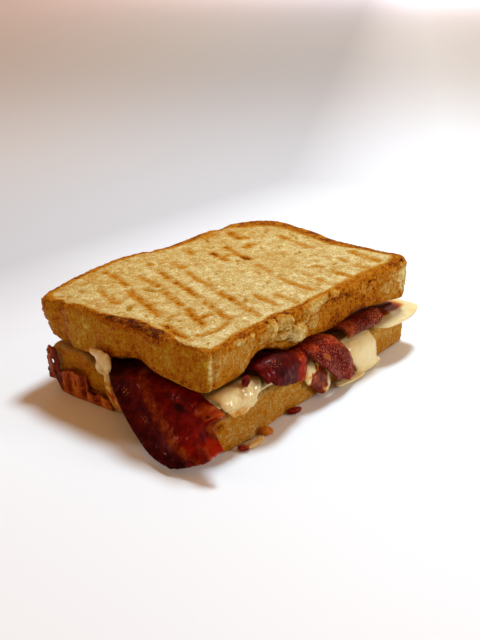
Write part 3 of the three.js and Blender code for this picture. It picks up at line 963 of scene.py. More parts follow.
@dataclass
class UpperSlice(LoafSlice):
    """The grilled slice on top, which sags where there is no filling and lifts over the bacon."""

    rises: tuple[Point, ...] = ()  # bumps of the underside: height, x, y and radius
    marks: tuple[Mark, ...] = ()
    pores: tuple[Pore, ...] = ()
    blotches: tuple[Patch, ...] = ()
    lumps: tuple[Patch, ...] = ()

    def underside(self, x: Array, y: Array) -> Array:
        """The height of the slice's lower face.

        Args:
            x: across the slice.
            y: up the slice.

        Returns:
            The height at each place.
        """
        height = UPPER_UNDERSIDE - 2.6 * ramp(x, -20, 2) * ramp(y, 4, 30)
        height = height - 2.4 * ramp(x, 30, 58) * ramp(y, -20, 4)
        for rise, at_x, at_y, radius in self.rises:
            height = height + rise * mound(x, y, at_x, at_y, radius)
        return height

    def topside(self, x: Array, y: Array) -> Array:
        """The height of the slice's upper face."""
        return (
            STACK_HEIGHT - 2 * mound(x, y, -71, 44, 24) + 1.3 * mound(x, y, 68, -46, 16)
            + 0.3 * np.sin(x / 11) * np.sin(y / 13)
        )

    def undercut(self, x: Array, y: Array) -> Array:
        """How much the crust draws in at its foot, as a share."""
        return 0.06 * mound(x, y, -70, 46, 40)

    def relief(self, points: Array, normals: Array, rim: Array) -> tuple[Array, dict[str, Array]]:
        """The grilled face with its marks and pores, and the torn crust below it.

        Args:
            points: the places on the plain slice.
            normals: which way they face.
            rim: how far they lie from the middle of the rounding at the rim.

        Returns:
            How far each place stands out, and the layers that the finish reads.
        """
        x, y, z = points.T
        flat = ramp(normals[:, 2], 0.55, 0.93)
        side = ramp(np.abs(normals[:, 2]), 0.8, 0.35) * (1 - flat)
        south = ramp(normals[:, 1], -0.45, -0.8)
        west = ramp(normals[:, 0], -0.45, -0.8)
        wander = Grain(self.seed + 1)
        noises = tuple(wander.rough(points, size) for size in (17, 6, 2.2))
        _, middling, fine = noises
        height, bake = self.grilled(points, noises, flat)
        height += 0.3 * fine * ramp(rim, 4, 1) * ramp(rim, -4, -1)

        # brown rim, widest and blotchy at the near edges
        rim_in = rim + 1.3 * middling + 0.9 * fine
        reach, depth = self.rim_band(points)
        band = ramp(rim_in, reach, 0.55 * reach) * ramp(rim, -9, -2)
        bake = np.maximum(bake, band * (depth + 0.2 * fine + 0.18 * middling))

        # the crust down the side
        crust = self.crust(points, noises, south, west)
        bake = bake + (np.maximum(crust, 0.7 * bake * band) - bake) * side
        flakes = wander.rough(points * (0.55, 1, 1.5), 3.2)
        clods = self.clods(points) - 0.5
        height += side * (0.45 * middling + 0.3 * fine + 0.3 * flakes + 0.6 * clods)
        # the clods term pales the tops of the lumps and darkens the creases between them: painted light and
        # shade
        bake += side * (0.1 * flakes + 0.14 * wander.at(points, 1.1) - 0.12 * clods)

        # torn lumps of crumb on the long face, with painted shade between them and in the groove below the
        # shoulder
        grain_height, paler = self.torn(points, fine, middling)
        height += grain_height * ramp(normals[:, 1], -0.15, -0.5)
        bake += paler * ramp(normals[:, 1], -0.2, -0.5)

        # the open streak down the nearest corner, and the split beside it, darkened with painted shade
        corner = np.hypot(x + 68, y + 45.5)
        streak = bump(corner + 0.8 * middling, 5) * ramp(z, 41, 36) * (1 - flat)
        bake -= 0.3 * streak * (1 - 0.75 * west * ramp(z, 37, 33))
        shaded_crack = bump(x + 65.2 + 0.9 * middling, 1.3) * ramp(y, -43, -44.5) * (1 - flat)
        height -= 0.7 * shaded_crack
        bake += 0.12 * shaded_crack

        sunk, pore = self.pitted(points, flat, south)
        grease = np.clip(side * (0.1 + 0.8 * west) + 0.2 * band, 0, 1)
        return height - sunk, {"bake": bake, "pore": pore, "grease": grease}

    def grilled(self, points: Array, noises: tuple[Array, ...], flat: Array) -> tuple[Array, Array]:
        """The pale face, toasted a little unevenly, with its burnt lines and scorched blotches.

        Args:
            points: the places on the plain slice.
            noises: broad, middling and fine noise.
            flat: how much each place belongs to the face.

        Returns:
            How far each place stands out, and how far it is baked.
        """
        x, y, _ = points.T
        broad, middling, fine = noises
        bake = 0.21 + 0.08 * broad + 0.12 * middling + 0.07 * fine
        bake += 0.001 * y + 0.06 * bump(np.hypot((x - 22) / 1.7, y + 2), 17)
        bake += 0.06 * mound(x, y, -38, 38, 16)
        height = 0.24 * self.crumb(points) * (0.6 + 0.6 * flat)
        plan = points[:, :2] + 0.5 * stacked(fine, middling)
        groove = np.zeros(len(points))
        for mark in self.marks:
            gap, along = distance_to_path(plan, mark.path)
            ends = ramp(along, -0.02, 0.12) * ramp(along, 1.02, 0.88)
            broken = 0.62 + 0.5 * fine + 0.3 * middling
            line = bump(gap, 1.35 * mark.width) * ends * np.clip(broken, 0, 1.3)
            line *= 1.35 * mark.strength
            groove = np.maximum(groove, line)
        bake += groove * flat
        height -= 0.9 * groove * flat
        for spot in self.blotches:
            gap = np.hypot((x - spot.a) / spot.half_a, (y - spot.b) / spot.half_b)
            soft = ramp(gap + 0.35 * middling + 0.3 * fine, 1.0, 0.3) * flat
            bake += soft * spot.bake
            height += soft * spot.height
        return height, bake

    def crust(self, points: Array, noises: tuple[Array, ...], south: Array, west: Array) -> Array:
        """The crust down the side, which is palest at its far end and in the torn places.

        Args:
            points: the places on the plain slice.
            noises: broad, middling and fine noise.
            south: how much each place faces out of the long side.
            west: how much it faces out of the short side.

        Returns:
            How far the crust is baked.
        """
        x, y, z = points.T
        wander = Grain(self.seed + 1)
        broad, middling, fine = noises
        crust = 0.5 + 0.1 * broad + 0.12 * middling + 0.1 * fine
        crust += 0.07 * south * ramp(x, 0, 20) * ramp(z, 30, 34)
        # darker low on the long side near the bacon: more baked crust and painted shade
        crust += 0.2 * south * ramp(z, 35, 31) * bump(x - 21, 16)
        crust += 0.05 * south * ramp(x, -5, 8) * ramp(x, 46, 34)
        east_end = south * ramp(x, 42, 56)
        crust -= 0.1 * south * ramp(x, -30, -55) + 0.2 * east_end
        crust -= 0.03 * west + 0.26 * west * bump(y - 23, 11)
        # a dark line down the notch in the short side: painted shade
        crust += 0.2 * west * bump(y - 35, 3.4)
        crust += 0.06 * west * ramp(z, 38, 31) * ramp(y, 5, -10)
        crust -= 0.06 * west * ramp(z, 37, 40) * ramp(y, -15, -25)
        pale = wander.rough(points * (1, 1, 0.7) + 40, 9)
        open_crumb = ramp(wander.rough(points + 9, 1.8), 0.2, 0.7)
        crust -= 0.16 * ramp(pale, 0.05, 0.6) + 0.1 * open_crumb * (1 - west)
        # darker towards the foot of the long side: browned crust and painted shade
        crust += 0.16 * ramp(z, 33, 26) * south
        return np.maximum(crust, 0.36 - 0.1 * east_end)

    def pitted(self, points: Array, flat: Array, south: Array) -> tuple[Array, Array]:
        """The pores of the face and of the long side.

        Args:
            points: the places on the plain slice.
            flat: how much each place belongs to the face.
            south: how much it faces out of the long side.

        Returns:
            How deep each place lies, and how dark the painted shade of the pores makes it.
        """
        rng = np.random.default_rng(self.seed + 7)
        strewn = scattered_pores(rng, 620, (-72, 72, -46, 52))
        sunk, dark = pits(points[:, :2], [*strewn, *self.pores])
        sunk_side, dark_side = pits(points[:, [0, 2]], scattered_pores(rng, 240, (-72, 72, 24, 42)))
        wall = south * (1 - flat)
        depth = 0.5 * sunk * flat + 0.7 * sunk_side * wall
        return depth, np.minimum(1, 2.1 * dark) * flat + 0.6 * dark_side * wall

    def rim_band(self, points: Array) -> tuple[Array, Array]:
        """The brown rim of the grilled face.

        Args:
            points: the places on the slice.

        Returns:
            How wide the rim is at each place, and how dark.
        """
        x, y, _ = points.T
        near_west, near_east = ramp(x, -50, -62), ramp(x, 46, 58)
        near_south, near_north = ramp(y, -30, -40), ramp(y, 34, 44)
        near_corner = mound(x, y, -70, 46, 18)
        reach = 0.8 + 0 * x
        depth = 0.5 + 0 * x
        west = 1.8 + 5.4 * bump(y + 4, 16) + 6 * bump(y + 19, 13) + 1.2 * bump(y - 24, 12)
        scorch = 0.6 + 0.28 * ramp(y, -28, -20) * ramp(y, 16, 6)
        east = 11 - 5 * ramp(y, -10, -36)
        south = 4.8 + 3 * ramp(x, 5, 40)
        north = 5 + 2.4 * bump(x - 22, 26) + 2 * bump(x - 62, 14)
        for near, wide, dark in (
            (near_south, south, 0.7 - 0.08 * ramp(x, -20, 0)), (near_west, west, scorch),
            (near_north, north, 0.66), (near_east, east, 0.7),
        ):
            reach = reach + (wide - reach) * near
            depth = depth + (dark - depth) * near
        return reach * (1 - 0.45 * near_corner), depth

    def torn(self, points: Array, fine: Array, middling: Array) -> tuple[Array, Array]:
        """Lumps where the crust tore off the long face.

        Args:
            points: the places on the slice.
            fine: fine noise.
            middling: coarser noise.

        Returns:
            How far they stand out, and how much paler they are, as a negative bake, with painted shade
            between the lumps and in the groove below the shoulder.
        """
        x, _, z = points.T
        height = np.zeros(len(x))
        pale = np.zeros(len(x))
        for lump in self.lumps:
            gap = np.hypot((x - lump.a) / lump.half_a, (z - lump.b) / lump.half_b)
            gap = gap + 0.4 * middling + 0.35 * fine
            body = np.sqrt(np.clip(1 - gap**2, 0, 1)) * (1 + 0.3 * fine)
            shaded_crease = bump(gap - 1.1, 0.2)
            height = np.maximum(height, lump.height * body) - 0.3 * shaded_crease * (height <= 0)
            pale = np.where(body > 0, np.minimum(pale, lump.bake * body**0.6), pale)
            # painted shade round the lumps
            pale = pale + 0.16 * shaded_crease * (body <= 0)
        # the groove below the shoulder, darkened with painted shade
        shaded_fold = bump(z - 39.7 - 0.5 * middling, 0.9)
        shaded_fold *= ramp(x, -16, -8) * ramp(x, 32, 24)
        return height - 0.55 * shaded_fold, pale + 0.14 * shaded_fold


@dataclass
class LowerSlice(LoafSlice):
    """The slice underneath, pressed by the grill, its crust greasy with butter and cheese."""

    def topside(self, x: Array, y: Array) -> Array:
        """The height of the slice's upper face, which curls up at one short end."""
        curl = 4.6 * ramp(x, -44, -66) * ramp(y, 12, 26)
        return LOWER_THICK - 0.4 * mound(x, y, 0, 0, 60) + curl

    def footing(self, x: Array, y: Array) -> tuple[Array, Array]:
        """How the foot of the crust is set off from the slice.

        Args:
            x: across the slice.
            y: up the slice.

        Returns:
            How far it is set off at each place, along x and along y.
        """
        spread = 0.4 + 1.2 * ramp(x, 56, 36) + 2.9 * ramp(x, -28, -52)
        east = 2.2 * ramp(x, -54, -66) * ramp(y, -40, -20)
        return east * (1 - 0.5 * ramp(y, 16, 26)), -spread * ramp(y, -30, -44)

    def relief(self, points: Array, normals: Array, rim: Array) -> tuple[Array, dict[str, Array]]:
        """The browned, dimpled crust.

        Args:
            points: the places on the plain slice.
            normals: which way they face.
            rim: how far they lie from the middle of the rounding at the rim; not used here.

        Returns:
            How far each place stands out, and the layers that the finish reads.
        """
        x, _, z = points.T
        wall = ramp(np.abs(normals[:, 2]), 0.85, 0.35)
        wander = Grain(self.seed + 1)
        broad, middling, fine = (wander.rough(points, size) for size in (19, 5, 2.0))
        bake = 0.5 + 0.09 * broad + 0.13 * middling + 0.1 * fine
        pale = wander.rough(points * (1, 1, 0.7) + 40, 8)
        bake -= 0.14 * ramp(pale, 0.05, 0.6) + 0.1 * ramp(wander.rough(points + 9, 1.8), 0.2, 0.7)
        south = ramp(normals[:, 1], -0.45, -0.8)
        bake += 0.18 * ramp(z, 4.5, 1.5) * (1 - 0.6 * south)
        bake -= south * (0.12 + 0.27 * bump(x + 47, 13) + 0.16 * ramp(x, 34, 44))
        bake = np.maximum(bake, 0.4)
        # painted shadow under the melted cheese at the near corner
        bake += 0.3 * bump(np.hypot(x + 63, (z - 9.5) * 1.4), 4.5)
        bake -= 0.22 * south * bump(x + 58.2 + 0.6 * fine, 1.8) * ramp(z, 6, 4)
        clods = self.clods(points) - 0.5
        # the clods term pales the tops of the lumps and darkens the creases between them: painted light and
        # shade
        bake += 0.14 * wander.at(points, 1.1) - 0.12 * clods
        bake = 0.3 + (bake - 0.3) * np.clip(wall + ramp(normals[:, 2], 0, -0.4), 0, 1)
        height = 0.18 * self.crumb(points) + wall * (0.4 * middling + 0.25 * fine + 0.5 * clods)
        height *= ramp(z, 0.05, 2.5) * (1 - 0.7 * ramp(z, LOWER_THICK - 1.5, LOWER_THICK))
        rng = np.random.default_rng(self.seed + 7)
        sunk, dark = pits(points[:, [0, 2]], scattered_pores(rng, 220, (-70, 70, 2, 14)))
        height -= 0.6 * sunk * wall
        grease = wall * (0.9 - 0.7 * south)
        # the pores of the side are darkened with painted shade
        return height, {"bake": bake, "pore": 0.6 * dark * wall, "grease": grease}


LOWER_SLICE = LowerSlice(
    name="bread_bottom_slice", node="bread_bottom", length=SLICE_LENGTH - 2, width=SLICE_WIDTH - 1,
    sharpness=Corners(nw=20, sw=26, se=22, ne=9), phase=1.3, shift=(0.8, 0.4),
    swells=(Swell("x", 1, -46, 26, 5.2), Swell("x", -1, 28, 7, -1.2), Swell("y", 1, -22, 40, 5)), foot=1.6,
    cuts=(150, 104, 30, 6), seed=31,
)

UPPER_SLICE = UpperSlice(
    name="bread_top_slice", node="bread_top", length=SLICE_LENGTH, width=SLICE_WIDTH + 1,
    sharpness=Corners(nw=24, sw=32, se=24, ne=9), phase=4.1, shift=(0.4, 1),
    swells=tuple(
        Swell(*row)
        for row in (
            ("x", 1, 22, 34, 6.8), ("x", 1, 36, 16, 2.0), ("x", 1, -28, 14, 1.2), ("x", 1, -46, 10, -1.0),
            ("x", -1, 42, 14, 0.9), ("x", -1, 34.5, 5, -1.5), ("x", -1, -9, 11, -1.4),
            ("y", 1, -24, 36, 7.4), ("y", 1, 30, 70, 3.5), ("y", 1, 46, 7, -2.2), ("y", 1, -1.5, 4, -1.6),
            ("y", 1, -46, 22, 2.6), ("y", 1, -64, 26, 3.6), ("y", -1, -26, 12, -1.4),
        )
    ),
    cuts=(272, 186, 30, 9), seed=11,
    rises=(
        (-5.4, -72, 33, 36), (-1.9, -71, -38, 16), (2.6, -71, -10, 14), (6.8, -37, -48, 20),
        (-1.5, -49, -48, 9), (2, -9, -48, 16), (2.6, 29, -48, 22), (-2, 64, -47, 12),
    ),
    marks=tuple(
        Mark(*row)
        for row in (
            (((-50, 33), (-53, 26), (-56, 18), (-58, 12)), 2.2, 0.36),
            (((-34, 43), (-37, 34), (-41.5, 23)), 2.3, 0.4),
            (((-42, 23), (-46, 16), (-48.5, 8), (-51, 2), (-53.5, -4), (-55.5, -10)), 2.4, 0.4),
            (((-26.5, 33), (-29, 28), (-30.5, 20), (-32, 14)), 2.2, 0.4),
            (((-34.5, 11), (-37, 4), (-39, -2), (-42, -10), (-46, -18), (-50.5, -30)), 2.4, 0.42),
            (((-17, 31), (-20, 22), (-23, 14), (-26, 5), (-29, -3), (-31, -9)), 2.3, 0.42),
            (((-31, -9), (-34, -17), (-37, -24), (-40, -31)), 2.4, 0.4),
            (((-10, 20), (-14, 10), (-16.5, 1), (-20, -7)), 2.1, 0.32),
            (((-20, -7), (-22, -13), (-24, -20), (-26, -27), (-30, -40)), 2.3, 0.44),
            (((-14, -20), (-15, -29), (-17, -38)), 2.2, 0.34), (((6, 31), (10, 37), (14.5, 42)), 2.6, 0.38),
            (((15.5, 28), (13, 21), (11, 13)), 2.6, 0.4), (((11, 19), (20, 19)), 1.7, 0.24),
            (((27, 30), (24, 24), (21.5, 17), (19, 6)), 2.6, 0.44),
            (((17, 2), (14, -6), (11, -14)), 2.0, 0.2),
            (((11, -14), (9, -22), (7.5, -30), (7, -40)), 2.2, 0.3),
            (((45, 42), (42, 37), (40.5, 31), (46, 30.5)), 2.6, 0.36),
            (((30, 19), (36, 21.5), (40, 20)), 2.7, 0.42), (((41, 21), (50, 20.5)), 1.6, 0.14),
            (((58.5, 22), (56, 15), (54, 7), (52, 0), (51, -7)), 2.3, 0.34),
            (((47.5, -21), (45, -30)), 2.4, 0.3), (((33, -19), (32.5, -25)), 2.6, 0.4),
            (((32.5, -28), (31.5, -36), (30.5, -44)), 2.5, 0.42),
            (((23, -8), (22.5, -17), (21, -28)), 2.0, 0.16),
            (((21, -29), (19.5, -34), (18.5, -42)), 2.4, 0.32),
            (((59, -19), (57.5, -30), (56, -41)), 2.8, 0.48), (((45.5, -32), (44, -40)), 2.2, 0.24),
            (((-59, -14), (-61, -21), (-64, -32)), 2.4, 0.42), (((-7, -28), (-8.5, -42)), 2.2, 0.32),
            (((-5, 33), (-8, 22)), 2.6, 0.36),
            (((-61, -31), (-52, -34.5), (-44, -33), (-36, -29)), 1.7, 0.34),
            (((-50, -22), (-42, -21), (-36, -24)), 2.0, 0.38), (((-55, -11), (-47, -12)), 1.5, 0.22),
            (((-45, 0), (-38, -2)), 1.5, 0.2), (((0, 24), (4, 29)), 1.6, 0.16),
        )
    ),
    pores=tuple(
        Pore(*row)
        for row in (
            (-37.5, 15, 4.6, 2.2, 105, 1.3, 0.62), (-34, 11.5, 4.0, 1.4, 0, 0.8, 0.5),
            (-57, 7, 4.4, 1.9, 40, 1.2, 0.5), (-50, 41.5, 3.6, 1.5, 5, 0.6, 0.34),
            (-63, 37, 2.6, 1.3, 30, 0.6, 0.36), (-56, 37, 3.2, 1.6, 60, 0.6, 0.34),
            (-48, 33, 2.4, 1.4, 70, 0.6, 0.3), (-52, 22, 1.8, 1.0, 20, 0.5, 0.3),
            (14.5, 10.5, 2.0, 1.5, 45, 0.9, 0.55), (22, 32, 1.8, 0.9, 50, 0.8, 0.55),
            (27.3, 40.6, 3.0, 1.3, 50, 1.6, 0.95), (-4, 7, 1.7, 1.3, 30, 0.7, 0.42),
            (-10, -8, 1.7, 0.9, 40, 0.7, 0.5), (1.5, -17.5, 2.0, 1.2, 10, 0.7, 0.42),
            (12.5, -15, 3.0, 1.3, 0, 0.7, 0.4), (-15, -3, 1.6, 0.8, 20, 0.6, 0.4),
            (43, 9, 1.9, 1.1, 20, 0.7, 0.42), (42.5, -3.6, 2.2, 0.9, 30, 1.0, 0.75),
            (57, 28, 2.4, 1.4, 40, 0.8, 0.45), (59, 11, 1.8, 1.0, 70, 0.7, 0.45),
            (36, 14, 2.2, 0.9, 55, 0.6, 0.4), (40, -25.6, 2.3, 1.0, 10, 1.0, 0.72),
            (30, -33.6, 1.6, 0.8, 30, 1.1, 0.95), (33.5, -28.5, 2.0, 1.0, 10, 0.7, 0.3),
            (13.5, -35.4, 1.4, 0.7, 20, 0.7, 0.5), (-20, -23, 2.2, 1.2, 60, 1.0, 0.62),
            (-25, 31, 2.2, 1.1, 80, 0.6, 0.34), (-55, -13, 3.0, 1.4, 15, 0.8, 0.4),
            (-38, -15.5, 0.9, 0.7, 0, 0.9, 0.85), (-41, -25, 1.1, 0.7, 0, 0.9, 0.8),
            (-62, -40, 1.6, 0.8, 40, 0.8, 0.6), (-58, -34, 3.0, 1.0, 0, 0.6, 0.42),
            (66, 3, 1.4, 0.8, 40, 0.8, 0.6),
        )
    ),
    blotches=tuple(
        Patch(*row)
        for row in (
            (-14.5, 38, 2.6, 3.4, -0.1, 0.4), (-35, 45, 3, 2.4, -0.1, 0.3), (20, 10, 2.6, 4.5, -0.1, 0.22),
            (14.5, 25, 2.4, 4, -0.1, 0.2), (45, 39, 4, 6, 0.0, 0.14), (-63, -24, 2.5, 6, -0.1, 0.2),
            (-65, -7, 4, 7, 0.0, 0.3), (-68, 8, 3, 8, 0.0, 0.24), (60, 42, 7, 5, 0.0, 0.22),
            (33, 45, 11, 4, 0.0, 0.24), (-44, -42.5, 5, 3, -0.1, 0.26), (-21, -43, 5, 3.5, -0.1, 0.24),
            (-34, -45, 20, 3.6, 0.0, 0.18), (19, -43, 4, 3.5, -0.1, 0.22), (45, -42, 6, 4, -0.1, 0.26),
            (58, -44, 5, 4, 0.0, 0.14),
        )
    ),
    lumps=tuple(
        Patch(*row)
        for row in (
            (-31, 38.6, 4.2, 4.6, 1.5, -0.3), (-22.5, 39.4, 5, 3.4, 1.4, -0.24),
            (-15.5, 34, 5.6, 4.4, 2.5, -0.3), (-24, 34.4, 4, 2.3, 1.2, -0.18),
            (-5.5, 41, 6.5, 3.2, 1.2, -0.26), (-4.5, 34.5, 4.2, 3.4, 1.1, -0.14),
            (3.5, 42.5, 4.5, 2.2, 0.9, -0.16), (-36.5, 38, 3.2, 2.4, 1.0, -0.16),
            (-10.5, 38, 3.0, 2.2, 1.2, -0.2), (-31, 37.4, 2.6, 1.8, 0.9, -0.2),
            (63.5, 35, 4.0, 8.0, 0.4, -0.26), (-51, 41, 3.6, 1.3, 0.5, -0.22),
            (-44, 40.6, 2.6, 1.5, 0.5, -0.18), (11.5, 41.6, 3.4, 1.6, 0.6, -0.2),
            (24, 39.5, 4.4, 1.6, 0.6, -0.12), (38, 38.5, 4.0, 2.2, 0.6, -0.1),
            (50, 34, 5.5, 3.0, 0.6, -0.12),
        )
    ),
)


# ---------------------------------------------------------------- strips bent along a profile


class Axis(Enum):
    """Which way a strip's straight direction runs."""

    ACROSS = "y"  # the strip hangs over the short side
    ALONG = "x"  # the strip hangs over the long side


# how far a strip stands out at t from 0 to 1 along it, v from -1 to 1 across it, and s and e
Shape = Callable[[Array, Array, Array, Array], Array]


def level(_t: Array, _v: Array, _s: Array, _e: Array) -> Array:
    """No ripple."""
    return np.zeros_like(_t)


@dataclass(frozen=True)
class Strip:
    """Food that was flat and then bent along a profile.

    Flat, it lies between two edge lines through (s, e) points: s is measured along the
    profile and e along the straight axis.
    """

    axis: Axis
    profile: Path
    zero: int  # which of the profile's points s is measured from
    near: Path
    far: Path
    thick: float
    ripple: Shape = level
    cut: float = 0.0  # how much shorter the strip is at its edges than in its middle
    thinning: float = 0.0  # how much thinner it is at its edges

    def flat(self, block: Array) -> tuple[Array, Array, Array, Array]:
        """Where the vertices of a unit block lie on the flat strip.

        Args:
            block: the places of the block's vertices: length, side, width.

        Returns:
            t from 0 to 1 along it, v from -1 to 1 across it, and the places s and e.
        """
        u, _, v = block.T
        t = (u + 1) / 2 * (1 - np.clip(self.cut * v * v, 0, 0.5))
        near, far = SmoothLine(self.near).at(t), SmoothLine(self.far).at(t)
        place = near + (far - near) * ((v + 1) / 2)[:, None]
        return t, v, place[:, 0], place[:, 1]

    def bent(self, s: Array, e: Array, lift: Array) -> Array:
        """The places in space of points on the flat strip.

        Args:
            s: along the profile.
            e: along the straight axis.
            lift: out from the profile.

        Returns:
            The places, one a row.
        """
        place, normal = Profile(self.profile, self.zero).at(s)
        out = 1.0 if self.axis is Axis.ACROSS else -1.0
        a, b = (place + normal * (lift * out)[:, None]).T
        return stacked(a, e, b) if self.axis is Axis.ACROSS else stacked(e, a, b)

    def lift(self, block: Array, t: Array, v: Array, s: Array, e: Array) -> Array:
        """How far the vertices of a unit block stand out from the profile.

        Args:
            block: the places of the block's vertices.
            t: how far along the strip they are, from 0 to 1.
            v: how far across it, from -1 to 1.
            s: where they lie along the profile.
            e: where they lie along the straight axis.

        Returns:
            How far each stands out, in millimetres.
        """
        u, side, _ = block.T
        thin = np.sqrt(1 - 0.75 * np.abs(v) ** 6) * np.sqrt(1 - 0.6 * np.abs(u) ** 12)
        thick = self.thick * (1 - self.thinning * v * v)
        return self.ripple(t, v, s, e) + side * thin * thick / 2


# ---------------------------------------------------------------- bacon


@dataclass(frozen=True)
class Streak:
    """A band of fat along a rasher: where it lies across it at each t, and its half-width."""

    path: Path
    half: float
    wave: float = 0.03
    turns: float = 11.0
    phase: float = 0.0


@dataclass(frozen=True)
class Dab:
    """A soft patch of a rasher, round a place along and across it, that differs in look."""

    t: float
    v: float
    half_t: float
    half_v: float
    tone: float = 0.0
    fat: float = 0.0
    char: float = 0.0
    speck: float = 0.0


@dataclass
class Rasher(Food):
    """A rasher of streaky bacon, fried and bent."""

    finish: ClassVar[Finish] = FriedBacon()
    strip: Strip
    streaks: tuple[Streak, ...]
    cuts: tuple[int, int, int]
    ragged: float = 0.6
    seed: int = 1
    dabs: tuple[Dab, ...] = ()
    tone: float = 0.46
    fatty: float = 0.0
    speck: float = 0.06

    def build(self) -> Object:
        """Builds the rasher with its ragged edges, ridges of fat and puckered lean.

        Returns:
            The rasher.
        """
        bm = grid_block(*self.cuts)
        block = positions(bm)
        t, v, s, e = self.strip.flat(block)
        flat_place = stacked(s, e, 0 * s)
        wander = Grain(self.seed)
        ragged = self.ragged * wander.rough(flat_place, 3.4) * ramp(np.abs(v), 0.5, 1)
        e = e + ragged * np.sign(v)
        frayed = self.ragged * 2 * wander.rough(flat_place + 50, 3.4)
        s = s + frayed * ramp(t, 0.86, 1)
        fat = np.zeros(len(t)) + self.fatty
        for k in self.streaks:
            middle = np.interp(t, *np.transpose(k.path))
            middle = middle + k.wave * np.sin(k.turns * t + k.phase)
            gap = np.abs(v - middle) + 0.12 * wander.rough(flat_place, 2.6)
            soft = ramp(gap, 1.6 * k.half, 0.1 * k.half)
            soft *= np.clip(0.9 + 0.3 * wander.rough(flat_place + 9, 3), 0, 1)
            fat = np.maximum(fat, 0.52 * soft)
        looks = {k: np.zeros(len(t)) for k in ("tone", "fat", "char", "speck")}
        for d in self.dabs:
            gap = np.hypot((t - d.t) / d.half_t, (v - d.v) / d.half_v)
            soft = ramp(gap + 0.3 * wander.rough(flat_place + 3, 3), 1.05, 0.45)
            for name, layer in looks.items():
                layer += soft * getattr(d, name)
        fat = np.clip(fat + looks["fat"], 0, 1)
        lift = self.strip.lift(block, t, v, s, e)
        outer = ramp(block[:, 1], -1, 1)
        pucker = 0.35 * wander.rough(flat_place * (1, 2.2, 1), 4.2)
        lift += (pucker + 0.35 * fat * (1 - np.abs(v) ** 8)) * (0.4 + 0.6 * outer)
        points = self.strip.bent(s, e, lift)
        piece = finished(bm, points, self.name)
        spots = wander.rough(flat_place + 20, 5)
        char = 0.14 * ramp(spots, 0.25, 0.8) * (1 - 0.6 * fat) + looks["char"]
        char += 0.2 * ramp(np.abs(v), 0.9, 1.0) * ramp(spots, -0.5, 0.5)
        raise_by(piece, 0.14 * wander.rough(points, 1.4))
        speck = self.speck * (0.7 + 0.8 * wander.rough(flat_place + 31, 6))
        paint(
            piece, fat=fat, char=np.clip(char, 0, 1), speck=np.clip(speck + looks["speck"], 0, 1),
            tone=self.tone + looks["tone"],
        )
        return piece


def front_ripple(t: Array, v: Array, s: Array, _e: Array) -> Array:
    """The waves of the rasher that slides out over the short side."""
    free = ramp(s, -4, 6)
    return (
        0.8 * free * np.sin(13 * t + 1.5 * v) + 0.5 * free * np.sin(7 * v)
        - 2.6 * ramp(v, 0.5, 1) * bump(t - 0.78, 0.2)
    )


def fold_ripple(_t: Array, v: Array, s: Array, _e: Array) -> Array:
    """The bulge of the rasher under the torn crust."""
    return (
        1.6 * bump(v + 0.35, 0.8) * ramp(s, -4, 4) - 1.2 * ramp(v, 0.3, 0.6) * ramp(s, -2, 6)
        - 3 * ramp(v, -0.4, 0.8) * bump(s + 4, 11)
    )


def flap_ripple(t: Array, v: Array, s: Array, _e: Array) -> Array:
    """The waves of the rasher that hangs over the lower slice."""
    free = ramp(s, 0, 6)
    return 0.5 * free * np.sin(11 * t) + 0.4 * free * np.sin(5 * v)


def roll_ripple(t: Array, v: Array, s: Array, e: Array) -> Array:
    """The waves of the rasher whose outer edge rolls over."""
    waves = 0.3 * np.sin(12 * t) * ramp(s, -6, 4)
    return waves - 3 * ramp(e, 41, 50) * ramp(v, -0.6, 0.4)


